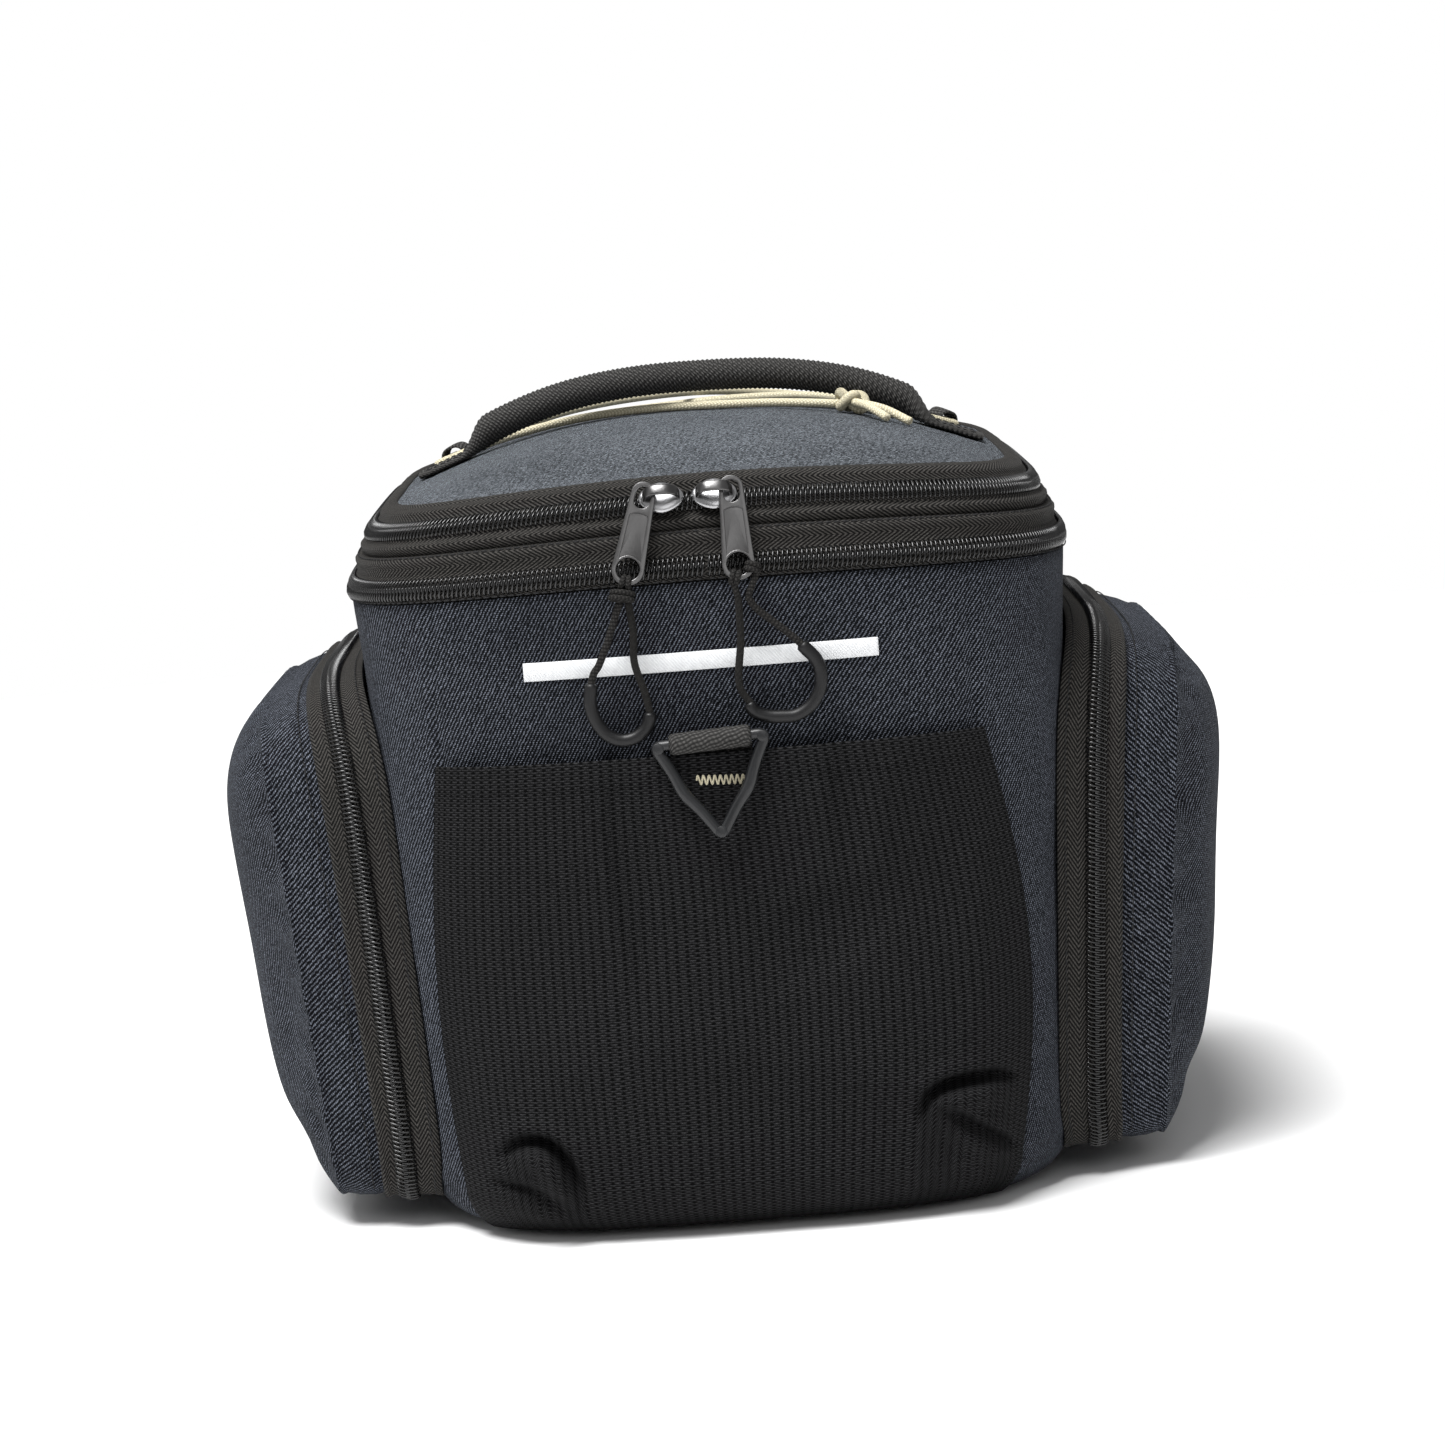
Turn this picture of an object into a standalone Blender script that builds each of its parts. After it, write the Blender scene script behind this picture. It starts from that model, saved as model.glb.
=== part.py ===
"""Bicycle rack bag: a twill trunk bag with two zip bands, side pockets and a mesh pocket.

Metres, +Z up. The bag stands on its flat base with the origin under its middle.
The rear of the bag, with the mesh pocket, faces -Y, and its left side is at -X.
"""

import math

import bmesh
import bpy
from mathutils import Matrix, Vector

# General clearances
GAP = 0.0003

# Body walls and base
BODY_WIDTH = 0.246
BODY_LENGTH = 0.345
WALL_HEIGHT = 0.215
WALL_ARCH = 0.003
WALL_THICKNESS = 0.003
BASE_INSET = 0.010
EDGE_RADIUS = 0.018
POWER_ACROSS = 3.4
POWER_ALONG = 6.0

# Zip bands and lid, as insets from the widest outline and heights at the sides
SEAM_INSET = 0.004
SEAM_HEIGHT = 0.2305
SEAM_ARCH = 0.005
LID_INSET = 0.013
LID_HEIGHT = 0.2430
LID_ARCH = 0.007
LID_CREST = 0.2695
LID_POWER = 2.3
LID_THICKNESS = 0.0025
LID_RIM_SHARE = 0.96
TAPE_THICKNESS = 0.0014
COIL_WIDTH = 0.0072
COIL_THICKNESS = 0.0024
COIL_CREST_SHARE = 0.7
EXPANSION_COIL_SHARE = 0.28
LID_COIL_SHARE = 0.56

# Sliders and pull tabs of the upper zip
# The bail's rows run from its leg to its top: share of its half span, share of its height
SLIDER_WIDTH = 0.0150
SLIDER_HEIGHT = 0.0112
SLIDER_THICKNESS = 0.0022
LEFT_SLIDER_X = -0.0134
RIGHT_SLIDER_X = 0.0040
BAIL_SPAN = 0.0112
BAIL_RISE = 0.0044
BAIL_RADIUS = 0.0010
BAIL_ROWS = ((1.0, 0.12), (1.0, 0.72), (0.8, 1.0))
SLIDER_ROWS = ((1.0, 1.0, 0.0), (0.96, 0.94, 0.45), (0.78, 0.55, 1.0))
PULL_DROP = 0.0021
PULL_THICKNESS = 0.0013
PULL_LENGTH = 0.0352
PULL_TOP_RADIUS = 0.0040
PULL_BOTTOM_RADIUS = 0.0054
PULL_SLOT_RADIUS = 0.0026
PULL_SLOT_DROP = 0.0025
PULL_HOLE_RADIUS = 0.0039
PULL_LEAN = math.radians(17.0)
LEFT_PULL_SWING = math.radians(-15.5)
RIGHT_PULL_SWING = math.radians(1.3)

# Cord loops on the pull tabs
CORD_RADIUS = 0.00125
GRIP_RADIUS = 0.0022
HITCH_RING_RADIUS = 0.0027
HITCH_CORD_RADIUS = 0.0009
HITCH_WIDTH = 0.0080
HITCH_HEIGHT = 0.0040
HITCH_HALF_DEPTH = 0.0022
# Rows of a knot from its lower to its upper end: size there and height, as shares
KNOT_ROWS = ((0.52, -0.9), (0.94, -0.45), (1.0, 0.0), (0.94, 0.45), (0.52, 0.9))

# Side pockets
POCKET_HALF_LENGTH = 0.128
POCKET_SEAM_HALF_LENGTH = 0.119
POCKET_BOTTOM = 0.007
POCKET_TOP = 0.190
POCKET_SEAM_DROP = 0.011
POCKET_POWER_ALONG = 4.5
POCKET_POWER_UP = 5.5
POCKET_POWER_BOTTOM = 10.0
POCKET_TOP_REACH = 0.159
POCKET_BOTTOM_REACH = 0.142
POCKET_FLARE_POWER = 1.2
POCKET_CROWN = 0.024
POCKET_CROWN_POWER = 4
POCKET_CROWN_HEIGHT = 0.112
POCKET_PANEL_SIZES = (0.95, 0.84, 0.64, 0.3)
POCKET_WALL = 0.002
SIDE_TAPE_SHARE = 0.54
SIDE_COIL_SHARE = 0.30

# Mesh pocket on the rear
MESH_HEM_HEIGHT = 0.162
MESH_LEFT = -0.095
MESH_RIGHT = 0.087
MESH_LEFT_FLARE = 0.006
MESH_RIGHT_FLARE = 0.011
MESH_THICKNESS = 0.0011
MESH_HEM_OPENING = 0.0048
MESH_BELLY = 0.0090
MESH_EDGE_STANDOFF = 0.0006
MESH_TUCK_ANGLE = math.radians(34.0)

# Webbing loop and triangle ring
RING_X = -0.0035
RING_HEIGHT = 0.1665
RING_TILT = math.radians(3.0)
RING_HALF_WIDTH = 0.0186
RING_DROP = 0.0318
RING_CORNER_RADIUS = 0.0030
RING_BAR_RADIUS = 0.0019
RING_KINK = 0.0014
RING_LEAN = math.radians(6.0)
LOOP_WIDTH = 0.027
LOOP_THICKNESS = 0.0013
LOOP_LEG_LENGTH = 0.010
RING_PLAY = 0.0004

# Reflective stripe
STRIPE_LEFT = -0.063
STRIPE_RIGHT = 0.054
STRIPE_HEIGHT = 0.192
STRIPE_WIDTH = 0.0062
STRIPE_THICKNESS = 0.0005

# Carry handle
HANDLE_HALF_SPAN = 0.081
HANDLE_END_LENGTH = 0.020
HANDLE_TUBE_RADIUS = 0.0055
HANDLE_STRAP_WIDTH = 0.026
HANDLE_STRAP_THICKNESS = 0.0022
HANDLE_GAP = 0.0062
HANDLE_SKEW = 0.014
HANDLE_FLAT_START = 0.9
HANDLE_FLAT_RUN = 0.16
HANDLE_LIFT_POWER = 6
HANDLE_SHARES = (1.0, 0.9, 0.82, 0.78, 0.72, 0.62, 0.46, 0.3, 0.15)

# Elastic lacing cord over the lid
LACING_RADIUS = 0.0015
LACING_SPACING = 0.011
LACING_CROSSING_LIFT = 0.0040
KNOT_RADIUS = 0.0070
KNOT_HALF_DEPTH = 0.0056
KNOT_HALF_HEIGHT = 0.0050
KNOT_TURN = math.radians(-25.0)
KNOT_END_SHIFT = 0.002
LACING_LOOP_WIDTH = 0.007
LACING_LOOP_THICKNESS = 0.0011
LACING_LOOP_FOOT = 0.009
LACING_LOOP_HALF_HOLE = 0.0042
LACING_LOOP_RISE = 0.0048
LACING_TURN_RADIUS = 0.009

# Counts along the outlines
STATIONS_PER_QUARTER = 12
POCKET_POINTS_PER_QUARTER = 7
CORNER_DENSITY = 0.08
FINE_SAMPLES = 400
HINGE_STATIONS = 5
SIDE_ZIP_FIRST_STATION = 3

TWILL = ("twill", (0.030, 0.037, 0.052, 1.0), 0.9, 0.0)
TAPE = ("zip_tape", (0.020, 0.018, 0.016, 1.0), 0.9, 0.0)
COIL = ("zip_coil", (0.012, 0.012, 0.013, 1.0), 0.35, 0.0)
MESH = ("mesh_fabric", (0.010, 0.010, 0.011, 1.0), 0.95, 0.0)
WEBBING = ("webbing", (0.014, 0.014, 0.015, 1.0), 0.85, 0.0)
METAL = ("slider_metal", (0.25, 0.25, 0.26, 1.0), 0.35, 1.0)
CORD = ("black_cord", (0.012, 0.012, 0.012, 1.0), 0.85, 0.0)
GRIP = ("grip_rubber", (0.030, 0.030, 0.033, 1.0), 0.6, 0.0)
PLASTIC = ("ring_plastic", (0.045, 0.045, 0.048, 1.0), 0.4, 0.0)
SILVER = ("reflective", (0.75, 0.76, 0.78, 1.0), 0.5, 0.0)
CREAM = ("cream_cord", (0.73, 0.67, 0.46, 1.0), 0.8, 0.0)


def clear_scene():
    for item in list(bpy.data.objects):
        bpy.data.objects.remove(item, do_unlink=True)


def new_collection(name):
    collection = bpy.data.collections.new(name)
    bpy.context.scene.collection.children.link(collection)
    return collection


def material(look):
    """Principled material of a look, made once and shared."""
    name, colour, roughness, metallic = look
    found = bpy.data.materials.get(name)
    if found:
        return found
    made = bpy.data.materials.new(name)
    made.use_nodes = True
    shader = made.node_tree.nodes["Principled BSDF"]
    shader.inputs["Base Color"].default_value = colour
    shader.inputs["Roughness"].default_value = roughness
    shader.inputs["Metallic"].default_value = metallic
    made.diffuse_color = colour
    return made


def add_object(name, data, look, collection, matrix=None):
    item = bpy.data.objects.new(name, data)
    data.materials.append(material(look))
    collection.objects.link(item)
    if matrix is not None:
        item.matrix_world = matrix
    return item


def loft(name, sections, look, collection, ring=False, matrix=None):
    """Closed body through sections of equally many points, capped or joined into a ring."""
    shape = bmesh.new()
    rows = [[shape.verts.new(point) for point in section] for section in sections]
    pairs = list(zip(rows, rows[1:]))
    if ring:
        pairs.append((rows[-1], rows[0]))
    else:
        shape.faces.new(rows[0])
        shape.faces.new(rows[-1])
    for first, second in pairs:
        for k in range(len(first)):
            shape.faces.new((first[k - 1], first[k], second[k]))
            shape.faces.new((first[k - 1], second[k], second[k - 1]))
    bmesh.ops.recalc_face_normals(shape, faces=shape.faces)
    mesh = bpy.data.meshes.new(name)
    shape.to_mesh(mesh)
    shape.free()
    mesh.shade_smooth()
    mesh.set_sharp_from_angle(angle=math.radians(40.0))
    return add_object(name, mesh, look, collection, matrix)


def tube(name, points, radius, look, collection, cyclic=False, matrix=None, widths=None):
    """Round tube along points, with filled caps when it is open."""
    curve = bpy.data.curves.new(name, "CURVE")
    curve.dimensions = "3D"
    curve.bevel_depth = radius
    curve.bevel_resolution = 2
    curve.use_fill_caps = not cyclic
    spline = curve.splines.new("POLY")
    spline.points.add(len(points) - 1)
    for k, point in enumerate(points):
        spline.points[k].co = (*point, 1.0)
        spline.points[k].radius = widths[k] if widths else 1.0
    spline.use_cyclic_u = cyclic
    return add_object(name, curve, look, collection, matrix)


def plate(name, outlines, thickness, look, collection, matrix):
    """Flat plate in its own XY plane, with holes from the outlines after the first."""
    curve = bpy.data.curves.new(name, "CURVE")
    curve.dimensions = "2D"
    curve.fill_mode = "BOTH"
    curve.extrude = thickness / 2
    for outline in outlines:
        spline = curve.splines.new("POLY")
        spline.points.add(len(outline) - 1)
        for k, (across, up) in enumerate(outline):
            spline.points[k].co = (across, up, 0.0, 1.0)
        spline.use_cyclic_u = True
    return add_object(name, curve, look, collection, matrix)


def as_mesh(item):
    """Replaces a curve object by its welded mesh."""
    bpy.context.view_layer.update()
    evaluated = item.evaluated_get(bpy.context.evaluated_depsgraph_get())
    mesh = bpy.data.meshes.new_from_object(evaluated)
    shape = bmesh.new()
    shape.from_mesh(mesh)
    bmesh.ops.remove_doubles(shape, verts=shape.verts, dist=0.00001)
    bmesh.ops.recalc_face_normals(shape, faces=shape.faces)
    shape.to_mesh(mesh)
    shape.free()
    name = item.name
    collection = item.users_collection[0]
    matrix = item.matrix_world.copy()
    item.name = name + "_outline"
    bpy.data.objects.remove(item, do_unlink=True)
    solid = bpy.data.objects.new(name, mesh)
    collection.objects.link(solid)
    solid.matrix_world = matrix
    return solid


def unite(target, tools):
    """Joins tool bodies into the target and keeps the tools as hidden guides."""
    for tool in tools:
        tool.hide_render = True
        tool.display_type = "WIRE"
        joint = target.modifiers.new("union_" + tool.name, "BOOLEAN")
        joint.operation = "UNION"
        joint.object = tool
    return target


def superellipse(angle, half_across, half_up, power_across, power_up):
    cosine = math.cos(angle)
    sine = math.sin(angle)
    across = math.copysign(half_across * abs(cosine) ** (2 / power_across), cosine)
    up = math.copysign(half_up * abs(sine) ** (2 / power_up), sine)
    return across, up


def outline_angles(half_across, half_up, power_across, power_up, per_quarter):
    """Angles round a superellipse from its lowest point, spaced closer in its corners."""
    angles = []
    for k in range(FINE_SAMPLES + 1):
        share = k / FINE_SAMPLES
        near_start = share ** (power_up / 2)
        near_end = (1 - share) ** (power_across / 2)
        angles.append(math.pi / 2 * near_start / (near_start + near_end))
    points = [Vector(superellipse(a, half_across, half_up, power_across, power_up)) for a in angles]
    weights = [0.0]
    heading = Vector((0.0, 1.0))
    for first, second in zip(points, points[1:]):
        step = second - first
        turn = heading.angle(step)
        weights.append(weights[-1] + step.length + CORNER_DENSITY * turn)
        heading = step
    quarter = []
    for k in range(per_quarter + 1):
        wanted = weights[-1] * k / per_quarter
        nearest = min(range(len(weights)), key=lambda j: abs(weights[j] - wanted))
        quarter.append(angles[nearest])
    ring = [-quarter[per_quarter - k] for k in range(per_quarter)]
    ring += [quarter[k] for k in range(per_quarter)]
    ring += [math.pi - quarter[per_quarter - k] for k in range(per_quarter)]
    ring += [math.pi + quarter[k] for k in range(per_quarter)]
    return ring


BODY_ANGLES = outline_angles(
    BODY_WIDTH / 2, BODY_LENGTH / 2, POWER_ACROSS, POWER_ALONG, STATIONS_PER_QUARTER)


def crown(angle):
    """Share of the arch at a station: 1 at the rear and front centre, 0 at the sides."""
    return 1 - abs(math.cos(angle)) ** (4 / POWER_ACROSS)


def plan_point(angle, inset, height):
    across, along = superellipse(
        angle, BODY_WIDTH / 2 - inset, BODY_LENGTH / 2 - inset, POWER_ACROSS, POWER_ALONG)
    return Vector((across, along, height))


def wall_inset(height):
    """How far the outer wall stands inside the widest outline at a height."""
    inset = BASE_INSET * (1 - min(height, WALL_HEIGHT) / WALL_HEIGHT)
    if height < EDGE_RADIUS:
        inset += EDGE_RADIUS - math.sqrt(EDGE_RADIUS ** 2 - (EDGE_RADIUS - height) ** 2)
    return inset


def side_reach(along, height):
    """Distance from the middle to the outer side wall at a place along the bag."""
    inset = wall_inset(height)
    share = min(1.0, abs(along) / (BODY_LENGTH / 2 - inset))
    return (BODY_WIDTH / 2 - inset) * (1 - share ** POWER_ALONG) ** (1 / POWER_ACROSS)


def rear_face(across, inset):
    """Y of the rear face at a place across the bag, for an outline with this inset."""
    share = min(1.0, abs(across) / (BODY_WIDTH / 2 - inset))
    return -(BODY_LENGTH / 2 - inset) * (1 - share ** POWER_ACROSS) ** (1 / POWER_ALONG)


def main_body(collection):
    """Open-topped shell: base, rounded bottom edge and walls, outside then inside."""
    edge_angles = [math.radians(a) for a in (0, 30, 60, 90)]
    wall_shares = (0.35, 0.7, 1.0)
    top = WALL_HEIGHT - GAP / 2

    def edge_row(turn, radius):
        inset = BASE_INSET + EDGE_RADIUS - radius * math.sin(turn)
        height = EDGE_RADIUS - radius * math.cos(turn)
        return [plan_point(a, inset, height) for a in BODY_ANGLES]

    def wall_row(share, thickness):
        height = EDGE_RADIUS + (top - EDGE_RADIUS) * share
        inset = wall_inset(height) + thickness
        return [plan_point(a, inset, height + WALL_ARCH * crown(a) * share) for a in BODY_ANGLES]

    outside = [edge_row(turn, EDGE_RADIUS) for turn in edge_angles]
    outside += [wall_row(share, 0.0) for share in wall_shares]
    inside = [edge_row(turn, EDGE_RADIUS - WALL_THICKNESS) for turn in edge_angles]
    inside += [wall_row(share, WALL_THICKNESS) for share in wall_shares]
    return loft("main_body", outside + inside[::-1], TWILL, collection)


def band_row(angle, share, low, high, proud):
    """Point on a sloping band between two (inset, height, arch) lines, moved out by proud."""
    low_inset, low_height, low_arch = low
    high_inset, high_height, high_arch = high
    inset = low_inset + (high_inset - low_inset) * share
    height = low_height + (high_height - low_height) * share
    arch = low_arch + (high_arch - low_arch) * share
    run = high_inset - low_inset
    rise = high_height - low_height
    slope = math.hypot(run, rise)
    inset -= proud * rise / slope
    height += proud * run / slope
    return plan_point(angle, inset, height + arch * crown(angle))


def band(name, low, high, look, collection, angles, ring):
    """Thin strip between two lines round the bag."""
    trim = GAP / 2 / (high[1] - low[1])
    sections = []
    for angle in angles:
        outer_low = band_row(angle, trim, low, high, 0.0)
        outer_high = band_row(angle, 1 - trim, low, high, 0.0)
        inner = [(line[0] + TAPE_THICKNESS, line[1], line[2]) for line in (low, high)]
        inner_low = band_row(angle, trim, *inner, 0.0)
        inner_high = band_row(angle, 1 - trim, *inner, 0.0)
        sections.append([outer_low, outer_high, inner_high, inner_low])
    return loft(name, sections, look, collection, ring=ring)


def coil_profile(half, base):
    """Half-round section as (along, proud) pairs, half wide each way and standing on base."""
    crest = half * COIL_CREST_SHARE
    top = base + COIL_THICKNESS
    return ((-half, base), (-crest, top), (crest, top), (half, base))


def coil(name, low, high, share, collection, angles, ring):
    """Half-round rib of the zip's teeth on the outside of its band."""
    length = math.hypot(high[0] - low[0], high[1] - low[1])
    profile = coil_profile(COIL_WIDTH / 2 / length, GAP)
    sections = []
    for angle in angles:
        sections.append([band_row(angle, share + along, low, high, proud) for along, proud in profile])
    return loft(name, sections, COIL, collection, ring=ring)


WALL_LINE = (0.0, WALL_HEIGHT, WALL_ARCH)
SEAM_LINE = (SEAM_INSET, SEAM_HEIGHT, SEAM_ARCH)
LID_LINE = (LID_INSET, LID_HEIGHT, LID_ARCH)


def zip_bands(collection):
    """Lower band all round, and the upper one with a plain hinge strip at the front."""
    band("expansion_tape", WALL_LINE, SEAM_LINE, TAPE, collection, BODY_ANGLES, True)
    coil("expansion_coil", WALL_LINE, SEAM_LINE, EXPANSION_COIL_SHARE, collection, BODY_ANGLES, True)
    front = 2 * STATIONS_PER_QUARTER
    hinge = BODY_ANGLES[front - HINGE_STATIONS:front + HINGE_STATIONS + 1]
    zip_run = BODY_ANGLES[front + HINGE_STATIONS:]
    zip_run += [a + 2 * math.pi for a in BODY_ANGLES[:front - HINGE_STATIONS + 1]]
    spacing = (plan_point(hinge[1], 0, 0) - plan_point(hinge[0], 0, 0)).length
    step = (hinge[1] - hinge[0]) * GAP / spacing
    hinge = [hinge[0] + step] + hinge[1:-1] + [hinge[-1] - step]
    band("lid_zip_tape", SEAM_LINE, LID_LINE, TAPE, collection, zip_run, False)
    coil("lid_zip_coil", SEAM_LINE, LID_LINE, LID_COIL_SHARE, collection, zip_run, False)
    band("lid_hinge", SEAM_LINE, LID_LINE, TWILL, collection, hinge, False)


def lid_share(across, along):
    """Size of the lid ring through a point, as a share of the lid's edge."""
    low = 0.0
    high = 1.0
    for _ in range(30):
        middle = (low + high) / 2
        reach = abs(across / (BODY_WIDTH / 2 - LID_INSET) / middle) ** POWER_ACROSS
        reach += abs(along / (BODY_LENGTH / 2 - LID_INSET) / middle) ** POWER_ALONG
        if reach > 1:
            low = middle
        else:
            high = middle
    return high


def lid_height(across, along):
    """Height of the lid's outer face over a point."""
    share = lid_share(across, along)
    side = abs(across / (BODY_WIDTH / 2 - LID_INSET) / share)
    edge = LID_HEIGHT + LID_ARCH * (1 - min(1.0, side) ** 2)
    return edge + (LID_CREST - edge) * (1 - share ** LID_POWER)


def lid_frame(across, along, heading, lift):
    """Matrix on the lid: X along the heading, Z out of the cloth, raised by lift."""
    step = 0.002
    slope_across = (lid_height(across + step, along) - lid_height(across - step, along)) / (2 * step)
    slope_along = (lid_height(across, along + step) - lid_height(across, along - step)) / (2 * step)
    normal = Vector((-slope_across, -slope_along, 1.0)).normalized()
    forward = Vector((math.cos(heading), math.sin(heading), 0.0))
    forward = (forward - normal * forward.dot(normal)).normalized()
    side = normal.cross(forward)
    place = Vector((across, along, lid_height(across, along))) + normal * lift
    matrix = Matrix((forward, side, normal)).transposed().to_4x4()
    matrix.translation = place
    return matrix


def lid(collection):
    """Shallow dome shell whose rim sits on the upper band."""
    outer_shares = (0.15, 0.4, 0.62, 0.82, 1.0)
    inner_shares = (LID_RIM_SHARE, 0.82, 0.62, 0.4, 0.15)

    def row(share, drop):
        points = []
        for angle in BODY_ANGLES:
            edge = LID_HEIGHT + LID_ARCH * crown(angle) + GAP / 2
            height = edge + (LID_CREST - edge) * (1 - share ** LID_POWER) - drop
            point = plan_point(angle, LID_INSET, 0.0) * share
            point.z = max(edge, height)
            points.append(point)
        return points

    sections = [row(share, 0.0) for share in outer_shares]
    sections.append(row(LID_RIM_SHARE, LID_CREST))
    sections += [row(share, LID_THICKNESS) for share in inner_shares[1:]]
    return loft("lid", sections, TWILL, collection)


def slider_frame(across):
    """Matrix on the upper coil at the rear: X across, Y up the band, Z out of it."""
    run = SEAM_INSET - LID_INSET
    rise = LID_HEIGHT + LID_ARCH - SEAM_HEIGHT - SEAM_ARCH
    up = Vector((0.0, -run, rise)).normalized()
    out = Vector((1.0, 0.0, 0.0)).cross(up)
    place = band_row(-math.pi / 2, LID_COIL_SHARE, SEAM_LINE, LID_LINE, GAP + COIL_THICKNESS + GAP)
    matrix = Matrix((Vector((1.0, 0.0, 0.0)), up, out)).transposed().to_4x4()
    place.x = across
    matrix.translation = place
    return matrix


def ellipse(half_width, half_height, level, count=16):
    points = []
    for k in range(count):
        angle = 2 * math.pi * k / count
        points.append((half_width * math.cos(angle), half_height * math.sin(angle), level))
    return points


def slider(name, across, collection, guides):
    """Domed slider plate with a bail arched across it."""
    half_width = SLIDER_WIDTH / 2
    half_height = SLIDER_HEIGHT / 2
    frame = slider_frame(across)
    sections = []
    for across_share, up_share, rise in SLIDER_ROWS:
        sections.append(ellipse(half_width * across_share, half_height * up_share, SLIDER_THICKNESS * rise))
    body = loft(name, sections, METAL, collection, matrix=frame)
    top = SLIDER_THICKNESS + BAIL_RISE
    half = BAIL_SPAN / 2
    leg = [(half * across_share, 0.0, top * rise) for across_share, rise in BAIL_ROWS]
    route = [(-x, y, z) for x, y, z in leg] + leg[::-1]
    bail = as_mesh(tube(name + "_bail", route, BAIL_RADIUS, METAL, guides, matrix=frame))
    return unite(body, [bail])


def pull_frame(slider_x, outward, swing):
    """Matrix on the bail's outer leg: X across, Y up the tab, Z out of it."""
    frame = slider_frame(slider_x)
    level = SLIDER_THICKNESS + BAIL_RISE - PULL_DROP
    pivot = frame @ Vector((outward * BAIL_SPAN / 2, 0.0, level))
    lean = Matrix.Rotation(math.pi / 2 - PULL_LEAN, 4, "X")
    turn = Matrix.Rotation(swing, 4, "Z")
    return Matrix.Translation(pivot) @ lean @ turn


def capsule(top_radius, bottom_radius, drop, count=9):
    """Outline of two round ends, the upper at the origin and the lower one below it."""
    slant = math.asin((bottom_radius - top_radius) / drop)
    points = []
    for k in range(count):
        angle = -slant + (math.pi + 2 * slant) * k / (count - 1)
        points.append((top_radius * math.cos(angle), top_radius * math.sin(angle)))
    for k in range(count):
        angle = math.pi + slant + (math.pi - 2 * slant) * k / (count - 1)
        points.append((bottom_radius * math.cos(angle), bottom_radius * math.sin(angle) - drop))
    return points


def circle(radius, centre_up):
    return [(across, centre_up + up) for across, up, _ in ellipse(radius, radius, 0.0, 12)]


PULL_DROP_TO_HOLE = PULL_LENGTH - PULL_TOP_RADIUS - PULL_BOTTOM_RADIUS


def pull_tab(name, frame, collection):
    """Tapered metal tab with a slot for the bail and a round hole for the cord."""
    outer = capsule(PULL_TOP_RADIUS, PULL_BOTTOM_RADIUS, PULL_DROP_TO_HOLE)
    slot = capsule(PULL_SLOT_RADIUS, PULL_SLOT_RADIUS, PULL_SLOT_DROP, 6)
    hole = circle(PULL_HOLE_RADIUS, -PULL_DROP_TO_HOLE)
    return plate(name, [outer, slot, hole], PULL_THICKNESS, METAL, collection, frame)


def knot_sections(half_across, half_deep, half_up):
    return [ellipse(half_across * size, half_deep * size, half_up * rise, 12) for size, rise in KNOT_ROWS]


def cord_hitch(name, frame, collection, guides):
    """Loop of cord round the tab's lower rim with the knot that closes it."""
    rim_middle = -PULL_DROP_TO_HOLE - (PULL_HOLE_RADIUS + PULL_BOTTOM_RADIUS) / 2
    bottom = rim_middle - HITCH_RING_RADIUS - HITCH_CORD_RADIUS
    depth = PULL_THICKNESS / 2 + HITCH_CORD_RADIUS + GAP
    ring_points = []
    for up, out, _ in ellipse(HITCH_RING_RADIUS, depth, 0.0, 12):
        ring_points.append((0.0, rim_middle + up, out))
    ring = tube(name + "_ring", ring_points, HITCH_CORD_RADIUS, CORD, guides, cyclic=True, matrix=frame)
    sections = []
    for section in knot_sections(HITCH_WIDTH / 2, HITCH_HALF_DEPTH, HITCH_HEIGHT / 2):
        sections.append([(x, bottom + z, y) for x, y, z in section])
    knot = loft(name, sections, CORD, collection, matrix=frame)
    return unite(knot, [as_mesh(ring)])


# Chosen points of the cord loops: strands run down from the hitch to the ends of the grip
LEFT_OUTER_STRAND = [(-0.0296, -0.1783, 0.2134), (-0.0335, -0.1773, 0.2030), (-0.0377, -0.1765, 0.1936),
                     (-0.0400, -0.1758, 0.1900), (-0.0408, -0.1756, 0.1874)]
LEFT_INNER_STRAND = [(-0.0266, -0.1783, 0.2134), (-0.0258, -0.1773, 0.2030), (-0.0262, -0.1765, 0.1936),
                     (-0.0238, -0.1758, 0.1842), (-0.0228, -0.1755, 0.1790), (-0.0225, -0.1754, 0.1765)]
LEFT_GRIP = [(-0.0409, -0.1756, 0.1869), (-0.0416, -0.1754, 0.1810), (-0.0404, -0.1752, 0.1755),
             (-0.0372, -0.1752, 0.1705), (-0.0326, -0.1752, 0.1682), (-0.0282, -0.1752, 0.1686),
             (-0.0245, -0.1752, 0.1710), (-0.0228, -0.1753, 0.1740), (-0.0225, -0.1754, 0.1760)]
RIGHT_INNER_STRAND = [(0.0092, -0.1784, 0.2124), (0.0090, -0.1772, 0.1986), (0.0074, -0.1764, 0.1860),
                      (0.0088, -0.1758, 0.1800), (0.0101, -0.1755, 0.1772)]
RIGHT_OUTER_STRAND = [(0.0124, -0.1784, 0.2124), (0.0146, -0.1776, 0.2085), (0.0206, -0.1768, 0.2030),
                      (0.0270, -0.1761, 0.1970), (0.0286, -0.1759, 0.1953)]
RIGHT_GRIP = [(0.0289, -0.1759, 0.1949), (0.0330, -0.1756, 0.1900), (0.0343, -0.1754, 0.1853),
              (0.0336, -0.1752, 0.1800), (0.0306, -0.1752, 0.1752), (0.0256, -0.1752, 0.1722),
              (0.0205, -0.1752, 0.1720), (0.0155, -0.1752, 0.1726), (0.0118, -0.1753, 0.1743),
              (0.0103, -0.1755, 0.1768)]

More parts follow.
